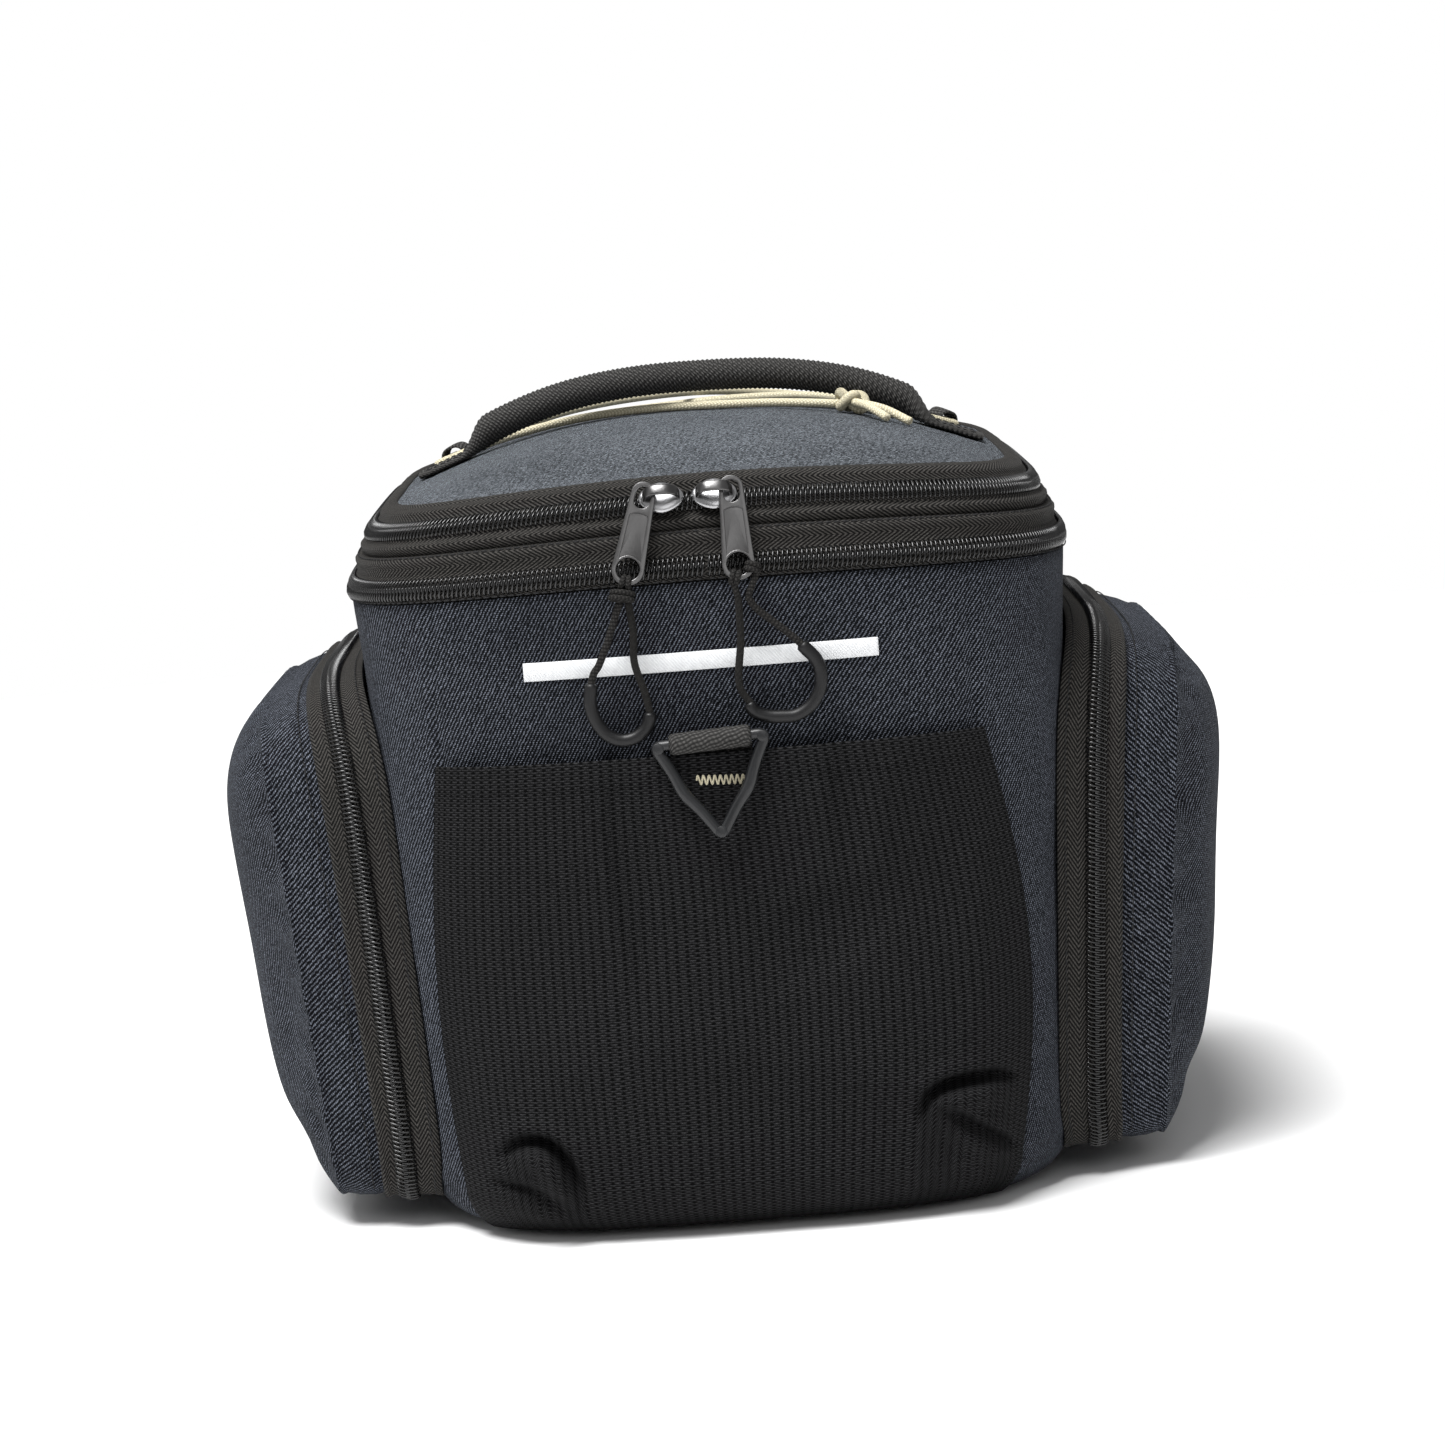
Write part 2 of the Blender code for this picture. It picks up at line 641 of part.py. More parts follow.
# Chosen places on the lid: the knot, where the cord dives under the handle, and the four loops
KNOT_PLACE = (0.054, -0.026)
TAIL_ENDS = ((0.066, -0.052), (0.074, -0.047))
TAIL_ARCH = 0.0010
UNDER_HANDLE_LEFT = (0.008, -0.006)
UNDER_HANDLE_RIGHT = (0.061, -0.004)
CROSSING_PLACE = (0.0, 0.0815)
LACING_LOOPS = {
    "lacing_loop_left": (-0.088, 0.043),
    "lacing_loop_front_right": (0.068, 0.118),
    "lacing_loop_front_left": (-0.068, 0.118),
    "lacing_loop_right": (0.089, 0.037),
}


def smooth_route(stops, spacing):
    """Points at about even spacing on a smooth curve through the stops."""
    ends = [stops[0] * 2 - stops[1]] + stops + [stops[-1] * 2 - stops[-2]]
    points = []
    for before, start, end, after in zip(ends, ends[1:], ends[2:], ends[3:]):
        count = max(1, round((end - start).length / spacing))
        for k in range(count):
            t = k / count
            place = 0.5 * (2 * start + (end - before) * t
                           + (2 * before - 5 * start + 4 * end - after) * t ** 2
                           + (3 * start - before - 3 * end + after) * t ** 3)
            points.append(place)
    points.append(stops[-1])
    return points


def cord_loop(side, strands, grip, collection):
    """The two strands of a pull's cord and the grip tube that joins them."""
    spacing = 5 * CORD_RADIUS
    for part, stops in zip(("outer", "inner"), strands):
        route = smooth_route([Vector(stop) for stop in stops], spacing)
        tube(f"cord_{part}_{side}", route, CORD_RADIUS, CORD, collection)
    route = smooth_route([Vector(stop) for stop in grip], 2 * GRIP_RADIUS)
    tube("cord_grip_" + side, route, GRIP_RADIUS, GRIP, collection)


POCKET_MIDDLE = (POCKET_TOP + POCKET_BOTTOM) / 2
POCKET_HALF_HEIGHT = (POCKET_TOP - POCKET_BOTTOM) / 2
POCKET_ANGLES = outline_angles(
    POCKET_HALF_LENGTH, POCKET_HALF_HEIGHT, POCKET_POWER_ALONG, POCKET_POWER_UP, POCKET_POINTS_PER_QUARTER)


def pocket_outline(angle, depth, proud):
    """Along and height of the pocket's gusset at a depth share, 0 at the body and 1 at its seam."""
    half_length = POCKET_HALF_LENGTH + (POCKET_SEAM_HALF_LENGTH - POCKET_HALF_LENGTH) * depth
    half_height = POCKET_HALF_HEIGHT
    powers = (POCKET_POWER_BOTTOM, POCKET_POWER_BOTTOM)
    if math.sin(angle) > 0:
        half_height -= POCKET_SEAM_DROP * depth
        powers = (POCKET_POWER_ALONG, POCKET_POWER_UP)
    along, up = superellipse(angle, half_length + proud, half_height + proud, *powers)
    return along, POCKET_MIDDLE + up


def pocket_seam_reach(height):
    share = min(1.0, max(0.0, (height - POCKET_BOTTOM) / (POCKET_TOP - POCKET_BOTTOM)))
    return POCKET_BOTTOM_REACH + (POCKET_TOP_REACH - POCKET_BOTTOM_REACH) * share ** POCKET_FLARE_POWER


def gusset_point(side, angle, depth, proud):
    """Point on the gusset between the body's side wall and the outer seam."""
    along, height = pocket_outline(angle, depth, proud)
    root = side_reach(along, height) + GAP
    reach = root + (pocket_seam_reach(height) - root) * depth
    return Vector((side * reach, along, height))


def side_pocket(name, side, collection):
    """Hollow pocket, open toward the body: gusset rows, then a crowned outer panel."""
    crown_point = Vector((0.0, 0.0, POCKET_CROWN_HEIGHT))

    def panel_row(size, inside):
        points = []
        for angle in POCKET_ANGLES:
            point = gusset_point(side, angle, 1.0, -inside)
            flat = crown_point + (Vector((0.0, point.y, point.z)) - crown_point) * size
            reach = pocket_seam_reach(flat.z) - inside + POCKET_CROWN * (1 - size ** POCKET_CROWN_POWER)
            points.append(Vector((side * reach, flat.y, flat.z)))
        return points

    outer = [[gusset_point(side, a, depth, 0.0) for a in POCKET_ANGLES] for depth in (0.0, 0.5, 1.0)]
    outer += [panel_row(size, 0.0) for size in POCKET_PANEL_SIZES]
    inner = [[gusset_point(side, a, depth, -POCKET_WALL) for a in POCKET_ANGLES] for depth in (0.0, 0.5)]
    inner += [panel_row(size, POCKET_WALL) for size in (1.0, *POCKET_PANEL_SIZES)]
    return loft(name, outer[::-1] + inner, TWILL, collection)


def side_zip(side_name, side, collection):
    """Arched tape and coil that climb the rear of the gusset and go down its front."""
    half = len(POCKET_ANGLES) // 2
    start = SIDE_ZIP_FIRST_STATION
    angles = POCKET_ANGLES[start:2 * half - start + 1]
    top = GAP + TAPE_THICKNESS
    tape_profile = ((0.0, GAP), (SIDE_TAPE_SHARE, GAP), (SIDE_TAPE_SHARE, top), (0.0, top))
    half_share = COIL_WIDTH / 2 / (POCKET_TOP_REACH - BODY_WIDTH / 2)
    teeth = coil_profile(half_share, top + GAP)
    teeth_profile = [(SIDE_COIL_SHARE + depth, proud) for depth, proud in teeth]
    for part, look, profile in (("tape", TAPE, tape_profile), ("coil", COIL, teeth_profile)):
        sections = []
        for angle in angles:
            sections.append([gusset_point(side, angle, depth, proud) for depth, proud in profile])
        loft(f"side_{part}_{side_name}", sections, look, collection)


# Rows of the mesh pocket: share of its drop from hem to edge, and share of the belly there
MESH_ROWS = ((0.0, 0.0), (0.2, 0.06), (0.4, 0.25), (0.6, 0.62), (0.78, 0.95), (0.9, 1.0), (1.0, 0.8))
MESH_COLUMNS = 14


def mesh_point(across_share, row_height, tuck, standoff):
    """Point at a standoff from the rear wall, or from its rounded bottom edge when tucked."""
    flare = math.sin(math.pi * (MESH_HEM_HEIGHT - row_height) / MESH_HEM_HEIGHT)
    narrowing = 0.0 if tuck is None else EDGE_RADIUS * (1 - math.sin(tuck))
    left = MESH_LEFT - MESH_LEFT_FLARE * flare + narrowing
    right = MESH_RIGHT + MESH_RIGHT_FLARE * flare - narrowing
    across = left + (right - left) * across_share
    if tuck is None:
        return Vector((across, rear_face(across, wall_inset(row_height) - standoff), row_height))
    radius = EDGE_RADIUS + standoff
    inset = BASE_INSET + EDGE_RADIUS - radius * math.sin(tuck)
    return Vector((across, rear_face(across, inset), EDGE_RADIUS - radius * math.cos(tuck)))


def mesh_pocket(collection):
    """Thin sheet over the rear, open at its hem and full low down."""
    places = []
    for drop, belly in MESH_ROWS:
        places.append((MESH_HEM_HEIGHT + (EDGE_RADIUS - MESH_HEM_HEIGHT) * drop, None, belly))
    places.append((EDGE_RADIUS, math.radians(65.0), 0.45))
    places.append((EDGE_RADIUS, MESH_TUCK_ANGLE, 0.0))

    def sheet_row(height, tuck, belly, thickness):
        points = []
        for k in range(MESH_COLUMNS + 1):
            share = k / MESH_COLUMNS
            fullness = 1 - (2 * share - 1) ** 4
            opening = MESH_HEM_OPENING * (1.0 if tuck is None else belly)
            standoff = MESH_EDGE_STANDOFF + fullness * (opening + MESH_BELLY * belly)
            points.append(mesh_point(share, height, tuck, standoff + thickness))
        return points

    outer = [sheet_row(*place, MESH_THICKNESS) for place in places]
    inner = [sheet_row(*place, 0.0) for place in places]
    sections = [front + back[::-1] for front, back in zip(outer, inner)]
    return loft("mesh_pocket", sections, MESH, collection)


# Turns a plate's own plane so that its X runs along Y, its Y up and its thickness across
EDGE_ON = Matrix(((0.0, 0.0, 1.0), (1.0, 0.0, 0.0), (0.0, 1.0, 0.0))).to_4x4()


def ring_pivot():
    """Centre of the triangle ring's top bar, just clear in front of the pocket hem."""
    hem_inset = wall_inset(MESH_HEM_HEIGHT) - MESH_EDGE_STANDOFF - MESH_HEM_OPENING - MESH_THICKNESS
    along = rear_face(RING_X, hem_inset) - RING_BAR_RADIUS - RING_PLAY
    return Vector((RING_X, along, RING_HEIGHT))


def ring_loop(collection):
    """Webbing folded round the ring's top bar, its legs behind the pocket hem."""
    inner = RING_BAR_RADIUS + RING_PLAY
    outer = inner + LOOP_THICKNESS
    leg_near = RING_BAR_RADIUS + RING_PLAY + MESH_THICKNESS + GAP
    leg_far = leg_near + 2 * LOOP_THICKNESS
    outline = []
    for k in range(11):
        angle = math.radians(65 + 230 * k / 10)
        outline.append((outer * math.cos(angle), outer * math.sin(angle)))
    taper = (outer + LOOP_LEG_LENGTH) * BASE_INSET / WALL_HEIGHT
    outline += [(leg_near, -inner), (leg_near + taper, -outer - LOOP_LEG_LENGTH)]
    outline += [(leg_far + taper, -outer - LOOP_LEG_LENGTH), (leg_far, -LOOP_THICKNESS)]
    hole = [(inner * math.cos(math.pi * k / 6), inner * math.sin(math.pi * k / 6)) for k in range(12)]
    tilt = Matrix.Rotation(-RING_TILT, 4, "Y")
    matrix = Matrix.Translation(ring_pivot()) @ tilt @ EDGE_ON
    return plate("ring_loop", [outline, hole], LOOP_WIDTH, WEBBING, collection, matrix)


def triangle_ring(collection):
    """Rounded triangle of plastic bar, hanging from its top bar."""
    corners = (Vector((RING_HALF_WIDTH, 0.0)), Vector((0.0, -RING_DROP)), Vector((-RING_HALF_WIDTH, 0.0)))
    points = []
    widths = []
    for k, corner in enumerate(corners):
        before = (corners[k - 1] - corner).normalized()
        after = (corners[(k + 1) % 3] - corner).normalized()
        start = corner + before * RING_CORNER_RADIUS
        end = corner + after * RING_CORNER_RADIUS
        for j in range(4):
            t = j / 3
            points.append(start * (1 - t) ** 2 + corner * 2 * t * (1 - t) + end * t ** 2)
            widths.append(1.0)
        if k < 2:
            middle = (corner + corners[k + 1]) / 2
            outward = Vector((1.0 if k == 0 else -1.0, -0.6)).normalized()
            points.append(middle + outward * RING_KINK)
            widths.append(1.12)
    lean = Matrix.Rotation(math.pi / 2 - RING_LEAN, 4, "X")
    tilt = Matrix.Rotation(-RING_TILT, 4, "Y")
    matrix = Matrix.Translation(ring_pivot()) @ tilt @ lean
    route = [(p.x, p.y, 0.0) for p in points]
    return tube("triangle_ring", route, RING_BAR_RADIUS, PLASTIC, collection, True, matrix, widths)


def reflective_stripe(collection):
    """Level bar on the rear wall."""
    columns = 8
    sections = []
    for k in range(columns + 1):
        across = STRIPE_LEFT + (STRIPE_RIGHT - STRIPE_LEFT) * k / columns
        corners = []
        for up, proud in ((-0.5, 1), (0.5, 1), (0.5, 0), (-0.5, 0)):
            height = STRIPE_HEIGHT + STRIPE_WIDTH * up
            along = rear_face(across, wall_inset(height) - GAP - STRIPE_THICKNESS * proud)
            corners.append((across, along, height))
        sections.append(corners)
    return loft("reflective_stripe", sections, SILVER, collection)


def handle_section(place):
    """Outline of the handle at a place across the bag: a tube, flattened at its sewn ends."""
    reach = HANDLE_HALF_SPAN + HANDLE_END_LENGTH
    share = abs(place) / HANDLE_HALF_SPAN
    flat = min(1.0, max(0.0, (share - HANDLE_FLAT_START) / HANDLE_FLAT_RUN))
    half_width = HANDLE_TUBE_RADIUS + (HANDLE_STRAP_WIDTH / 2 - HANDLE_TUBE_RADIUS) * flat
    half_height = HANDLE_TUBE_RADIUS + (HANDLE_STRAP_THICKNESS / 2 - HANDLE_TUBE_RADIUS) * flat
    along = -HANDLE_SKEW * place / reach
    arch = 1 - min(1.0, share) ** HANDLE_LIFT_POWER
    clearance = 2 * GAP + HANDLE_GAP * arch
    frame = lid_frame(place, along, 0.0, 0.0)
    normal = frame.col[2].xyz
    centre = frame.translation + Vector((0.0, 0.0, clearance)) + normal * half_height
    section = []
    for width, height, _ in ellipse(half_width, half_height, 0.0, 12):
        section.append(centre + Vector((0.0, width, 0.0)) + normal * height)
    return section


def carry_handle(collection):
    """Webbing tube from sewn end to sewn end, a little clear of the lid."""
    reach = HANDLE_HALF_SPAN + HANDLE_END_LENGTH
    places = [-reach * share for share in HANDLE_SHARES] + [0.0]
    places += [reach * share for share in HANDLE_SHARES[::-1]]
    return loft("carry_handle", [handle_section(place) for place in places], WEBBING, collection)


def lacing_stop(across, along, lift):
    frame = lid_frame(across, along, 0.0, GAP + LACING_RADIUS + lift)
    return frame.translation


def lacing_bend(name):
    """Place of a loop, the cord's heading through it and the inward side of the bend."""
    places = [UNDER_HANDLE_LEFT] + list(LACING_LOOPS.values()) + [UNDER_HANDLE_RIGHT]
    position = list(LACING_LOOPS).index(name) + 1
    before, place, after = (Vector(p) for p in places[position - 1:position + 2])
    heading = (after - before).normalized()
    inward = Vector((-heading.y, heading.x))
    if inward.dot((before + after) / 2 - place) < 0:
        inward.negate()
    return place, heading, inward


def lacing_route():
    """Plan places and lifts of the cord from the knot, round each loop's bend and back."""
    knot = Vector(KNOT_PLACE)
    start = knot + Vector((-KNOT_RADIUS - LACING_RADIUS, KNOT_END_SHIFT))
    stops = [(start, KNOT_END_SHIFT / 2), (Vector(UNDER_HANDLE_LEFT), 0.0)]
    crossing_lifts = {"lacing_loop_left": LACING_CROSSING_LIFT, "lacing_loop_front_left": 0.0}
    for name in LACING_LOOPS:
        place, heading, inward = lacing_bend(name)
        for turn in (-1.0, 0.0, 1.0):
            shift = inward * (1 - math.cos(turn)) + heading * math.sin(turn)
            stops.append((place + shift * LACING_TURN_RADIUS, GAP))
        if name in crossing_lifts:
            stops.append((Vector(CROSSING_PLACE), crossing_lifts[name]))
    stops.append((Vector(UNDER_HANDLE_RIGHT), 0.0))
    stops.append((knot + Vector((KNOT_END_SHIFT, KNOT_RADIUS + LACING_RADIUS)), 0.0))
    return [Vector((place.x, place.y, lift)) for place, lift in stops]


def lacing_cord(collection):
    """Elastic cord over the lid, whose two ends meet in the knot."""
    draped = [lacing_stop(*place) for place in smooth_route(lacing_route(), LACING_SPACING)]
    return tube("lacing_cord", draped, LACING_RADIUS, CREAM, collection)


def lacing_knot(collection, guides):
    """Knot behind the handle with two short tails."""
    knot = Vector(KNOT_PLACE)
    foot = -KNOT_ROWS[0][1] * KNOT_HALF_HEIGHT
    frame = lid_frame(knot.x, knot.y, KNOT_TURN, GAP + foot)
    sections = knot_sections(KNOT_RADIUS, KNOT_HALF_DEPTH, KNOT_HALF_HEIGHT)
    body = loft("lacing_knot", sections, CREAM, collection, matrix=frame)
    tails = []
    for k, end in enumerate(TAIL_ENDS):
        start = frame.translation
        foot = lacing_stop(*end, GAP)
        bend = (start + foot) / 2 + Vector((0.0, 0.0, TAIL_ARCH))
        tail = tube(f"lacing_tail_{k}", [start, bend, foot], LACING_RADIUS, CREAM, guides)
        tails.append(as_mesh(tail))
    return unite(body, tails)


def lacing_loop(name, collection):
    """Small strap stitched to the lid, arched over the cord."""
    place, heading, _ = lacing_bend(name)
    frame = lid_frame(place.x, place.y, math.atan2(heading.y, heading.x), 2 * GAP)
    hole = LACING_LOOP_HALF_HOLE
    thick = LACING_LOOP_THICKNESS
    rise = LACING_LOOP_RISE
    foot = hole + LACING_LOOP_FOOT
    half = [(foot, 0.0), (foot, thick), (hole + thick, thick)]
    half += [(hole + thick * 0.6, rise), (hole * 0.5, rise + thick)]
    under = [(hole * 0.4, rise), (hole * 0.9, rise * 0.8), (hole, 0.0)]
    outline = half + [(-u, w) for u, w in half[::-1]] + [(-u, w) for u, w in under[::-1]] + under
    return plate(name, [outline], LACING_LOOP_WIDTH, WEBBING, collection, frame @ EDGE_ON)


def centre_footprint(pieces):
    """Moves all pieces together so that the bag's middle is over the origin."""
    bpy.context.view_layer.update()
    lowest = math.inf
    highest = -math.inf
    for piece in pieces:
        for corner in piece.bound_box:
            along = (piece.matrix_world @ Vector(corner)).y
            lowest = min(lowest, along)
            highest = max(highest, along)
    shift = Matrix.Translation((0.0, -(lowest + highest) / 2, 0.0))
    for item in bpy.data.objects:
        item.matrix_world = shift @ item.matrix_world


def build():
    clear_scene()
    parts = new_collection("bicycle_rack_bag")
    guides = new_collection("guides")
    main_body(parts)
    zip_bands(parts)
    lid(parts)
    slider("slider_left", LEFT_SLIDER_X, parts, guides)
    slider("slider_right", RIGHT_SLIDER_X, parts, guides)
    left_pull = pull_frame(LEFT_SLIDER_X, -1, LEFT_PULL_SWING)
    right_pull = pull_frame(RIGHT_SLIDER_X, 1, RIGHT_PULL_SWING)
    pull_tab("pull_left", left_pull, parts)
    pull_tab("pull_right", right_pull, parts)
    for name, side in (("left", -1), ("right", 1)):
        side_pocket("side_pocket_" + name, side, parts)
        side_zip(name, side, parts)
    mesh_pocket(parts)
    ring_loop(parts)
    triangle_ring(parts)
    reflective_stripe(parts)
    carry_handle(parts)
    lacing_cord(parts)
    lacing_knot(parts, guides)
    for name in LACING_LOOPS:
        lacing_loop(name, parts)
    framed = list(parts.objects)
    cord_hitch("cord_hitch_left", left_pull, parts, guides)
    cord_hitch("cord_hitch_right", right_pull, parts, guides)
    cord_loop("left", (LEFT_OUTER_STRAND, LEFT_INNER_STRAND), LEFT_GRIP, parts)
    cord_loop("right", (RIGHT_OUTER_STRAND, RIGHT_INNER_STRAND), RIGHT_GRIP, parts)
    centre_footprint(framed)


build()
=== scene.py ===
"""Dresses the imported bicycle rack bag: cloth, zips, pulls, cords, handle and lacing.

Metres, +Z up. The rear of the bag, with the mesh pocket, faces -Y.
"""

import math

import bmesh
import bpy
import numpy as np
from mathutils import Matrix, Vector, noise
from mathutils.bvhtree import BVHTree


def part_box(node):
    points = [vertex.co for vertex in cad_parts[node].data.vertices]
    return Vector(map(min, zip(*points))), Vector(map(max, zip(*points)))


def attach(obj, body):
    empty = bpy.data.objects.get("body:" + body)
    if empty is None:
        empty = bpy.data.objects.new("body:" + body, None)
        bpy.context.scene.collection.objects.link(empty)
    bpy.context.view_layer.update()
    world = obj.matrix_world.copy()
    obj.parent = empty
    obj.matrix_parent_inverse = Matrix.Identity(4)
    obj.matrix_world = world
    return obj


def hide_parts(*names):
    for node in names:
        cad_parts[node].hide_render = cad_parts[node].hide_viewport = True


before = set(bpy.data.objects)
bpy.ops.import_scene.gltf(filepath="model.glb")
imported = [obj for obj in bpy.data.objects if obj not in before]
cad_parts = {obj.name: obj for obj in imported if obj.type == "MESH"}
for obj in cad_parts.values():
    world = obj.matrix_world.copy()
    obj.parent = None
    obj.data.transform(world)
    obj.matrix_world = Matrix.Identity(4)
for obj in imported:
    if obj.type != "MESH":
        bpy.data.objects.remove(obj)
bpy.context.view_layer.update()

# Sizes repeated from the solids
GAP = 0.0003
BODY_WIDTH = 0.246
BODY_LENGTH = 0.345
WALL_HEIGHT = 0.215
WALL_ARCH = 0.003
BASE_INSET = 0.010
EDGE_RADIUS = 0.018
POWER_ACROSS = 3.4
POWER_ALONG = 6.0
WALL_LINE = (0.0, 0.215, 0.003)
SEAM_LINE = (0.004, 0.2305, 0.005)
LID_LINE = (0.013, 0.2430, 0.007)
LID_CREST = 0.2695
LID_POWER = 2.3
TAPE_THICKNESS = 0.0014
WELD_DISTANCE = 0.00001
LOWER_COIL_SHARE = 0.28
UPPER_COIL_SHARE = 0.56
SIDE_TAPE_SHARE = 0.54
SIDE_COIL_SHARE = 0.30

# The solids were moved along the bag to centre them, so the body's middle gives the shift
body_low, body_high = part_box("main_body")
SHIFT = (body_low[1] + body_high[1]) / 2
MIDDLE = np.array([0.0, SHIFT, 0.12])


class Shade:
    """Small helper that builds a procedural Principled material."""

    def __init__(self, name):
        self.material = bpy.data.materials.new(name)
        self.material.use_nodes = True
        self.tree = self.material.node_tree
        self.shader = self.tree.nodes["Principled BSDF"]

    def put(self, socket, value):
        if isinstance(value, bpy.types.NodeSocket):
            self.tree.links.new(value, socket)
        else:
            socket.default_value = value

    def set(self, **values):
        for key, value in values.items():
            self.put(self.shader.inputs[key.replace("_", " ")], value)
        return self

    def math(self, operation, *values):
        node = self.tree.nodes.new("ShaderNodeMath")
        node.operation = operation
        for socket, value in zip(node.inputs, values):
            self.put(socket, value)
        return node.outputs[0]

    def uv(self):
        """Distances in metres along and across the cloth."""
        node = self.tree.nodes.new("ShaderNodeUVMap")
        node.uv_map = "cloth"
        split = self.tree.nodes.new("ShaderNodeSeparateXYZ")
        self.tree.links.new(node.outputs[0], split.inputs[0])
        return split.outputs[0], split.outputs[1]

    def noise(self, scale, detail=2.0, roughness=0.5):
        place = self.tree.nodes.new("ShaderNodeTexCoord")
        node = self.tree.nodes.new("ShaderNodeTexNoise")
        node.inputs["Scale"].default_value = scale
        node.inputs["Detail"].default_value = detail
        node.inputs["Roughness"].default_value = roughness
        self.tree.links.new(place.outputs["Object"], node.inputs["Vector"])
        return node.outputs["Fac"]

    def wave(self, place, pitch):
        """Smooth 0 to 1 wave of a distance, one crest each pitch."""
        turn = self.math("MULTIPLY", place, 2 * math.pi / pitch)
        return self.math("MULTIPLY_ADD", self.math("SINE", turn), 0.5, 0.5)

    def mix(self, factor, first, second):
        node = self.tree.nodes.new("ShaderNodeMix")
        node.data_type = "RGBA"
        self.put(node.inputs["Factor"], factor)
        self.put(node.inputs[6], (*first, 1.0) if isinstance(first, tuple) else first)
        self.put(node.inputs[7], (*second, 1.0) if isinstance(second, tuple) else second)
        return node.outputs[2]

    def span(self, value, low, high, to_low=0.0, to_high=1.0):
        node = self.tree.nodes.new("ShaderNodeMapRange")
        for socket, number in zip(node.inputs, (value, low, high, to_low, to_high)):
            self.put(socket, number)
        return node.outputs[0]

    def fuzz(self, scale, low, high):
        """Fine uneven tone of fibres, from low to high."""
        return self.span(self.noise(scale), 0.3, 0.7, low, high)

    def bump(self, height, distance):
        node = self.tree.nodes.new("ShaderNodeBump")
        node.inputs["Distance"].default_value = distance
        self.put(node.inputs["Height"], height)
        self.tree.links.new(node.outputs[0], self.shader.inputs["Normal"])
        return self


def twill(name, angle, dark, light, pitch=0.00112):
    """Diagonal twill: ribs at an angle to the cloth, broken into yarns."""
    shade = Shade(name)
    u, v = shade.uv()
    wobble = shade.math("MULTIPLY", shade.noise(900.0, 1.0), pitch * 0.7)
    across = shade.math("MULTIPLY", u, math.cos(angle))
    across = shade.math("ADD", shade.math("MULTIPLY_ADD", v, math.sin(angle), across), wobble)
    ribs = shade.wave(across, pitch)
    yarn_place = shade.math("MULTIPLY_ADD", v, 1.0, shade.math("MULTIPLY", u, 0.25))
    yarns = shade.wave(yarn_place, pitch * 0.62)
    height = shade.math("MULTIPLY", ribs, shade.math("MULTIPLY_ADD", yarns, 0.45, 0.55))
    patches = shade.span(shade.noise(14.0, 4.0, 0.6), 0.3, 0.7, 0.72, 1.15)
    fuzz = shade.fuzz(1500.0, 0.10, 1.90)
    tone = shade.math("MULTIPLY", shade.math("POWER", height, 2.6), patches)
    shade.set(Base_Color=shade.mix(shade.math("MULTIPLY", tone, fuzz), dark, light), Roughness=0.9)
    shade.set(Sheen_Weight=0.03, Sheen_Roughness=0.5, Sheen_Tint=(0.6, 0.65, 0.75, 1.0))
    shade.set(Specular_IOR_Level=0.1)
    return shade.bump(height, 0.00030).material


def herringbone(name, dark, light, width=0.0072, pitch=0.00105):
    """Zip tape: slanted ribs that turn back every half width."""
    shade = Shade(name)
    u, v = shade.uv()
    fold = shade.math("PINGPONG", v, width / 2)
    ribs = shade.wave(shade.math("MULTIPLY_ADD", fold, 1.5, u), pitch * 1.75)
    yarns = shade.wave(v, pitch * 0.6)
    height = shade.math("MULTIPLY", ribs, shade.math("MULTIPLY_ADD", yarns, 0.35, 0.65))
    fuzz = shade.fuzz(1500.0, 0.5, 1.4)
    tone = shade.math("MULTIPLY", shade.math("POWER", height, 1.5), fuzz)
    shade.set(Base_Color=shade.mix(tone, dark, light), Roughness=0.85)
    shade.set(Sheen_Weight=0.02, Specular_IOR_Level=0.15)
    return shade.bump(height, 0.00020).material


def mesh_cloth(name, dark, light):
    """Warp-knitted mesh: fine courses with columns of small open dashes."""
    shade = Shade(name)
    u, v = shade.uv()
    drift = shade.math("MULTIPLY", shade.noise(25.0, 2.0), 0.0016)
    across = shade.math("ADD", u, drift)
    column = shade.wave(across, 0.0035)
    rows = shade.wave(v, 0.00162)
    slits = shade.math("MULTIPLY", shade.math("POWER", column, 4.0), shade.span(rows, 0.25, 0.75, 0.1, 0.6))
    swing = [shade.math("MULTIPLY_ADD", wave, 2.0, -1.0) for wave in (column, rows)]
    cells = shade.math("MULTIPLY_ADD", shade.math("MULTIPLY", *swing), -0.5, 0.5)
    body = shade.math("MULTIPLY_ADD", shade.wave(v, 0.00081), 0.5, shade.math("MULTIPLY", cells, 0.5))
    height = shade.math("MAXIMUM", shade.math("SUBTRACT", body, slits), 0.0)
    fuzz = shade.fuzz(1900.0, 0.4, 1.6)
    tone = shade.math("MULTIPLY", shade.math("POWER", height, 1.8), fuzz)
    shade.set(Base_Color=shade.mix(tone, dark, light), Roughness=0.85, Specular_IOR_Level=0.08)
    return shade.bump(height, 0.00028).material


def ribbed(name, dark, light, along, across, distance=0.0003, roughness=0.8):
    """Woven strap or braid: ribs along both of its ways."""
    shade = Shade(name)
    u, v = shade.uv()
    first = shade.wave(shade.math("ADD", u, shade.math("MULTIPLY", v, 0.5)), along)
    second = shade.wave(shade.math("SUBTRACT", v, shade.math("MULTIPLY", u, 0.3)), across)
    height = shade.math("MULTIPLY", shade.math("MULTIPLY_ADD", first, 0.7, 0.3), second)
    fuzz = shade.fuzz(1800.0, 0.65, 1.25)
    tone = shade.math("MULTIPLY", shade.math("MULTIPLY_ADD", height, 0.85, 0.15), fuzz)
    shade.set(Base_Color=shade.mix(tone, dark, light), Roughness=roughness, Specular_IOR_Level=0.15)
    return shade.bump(height, distance).material


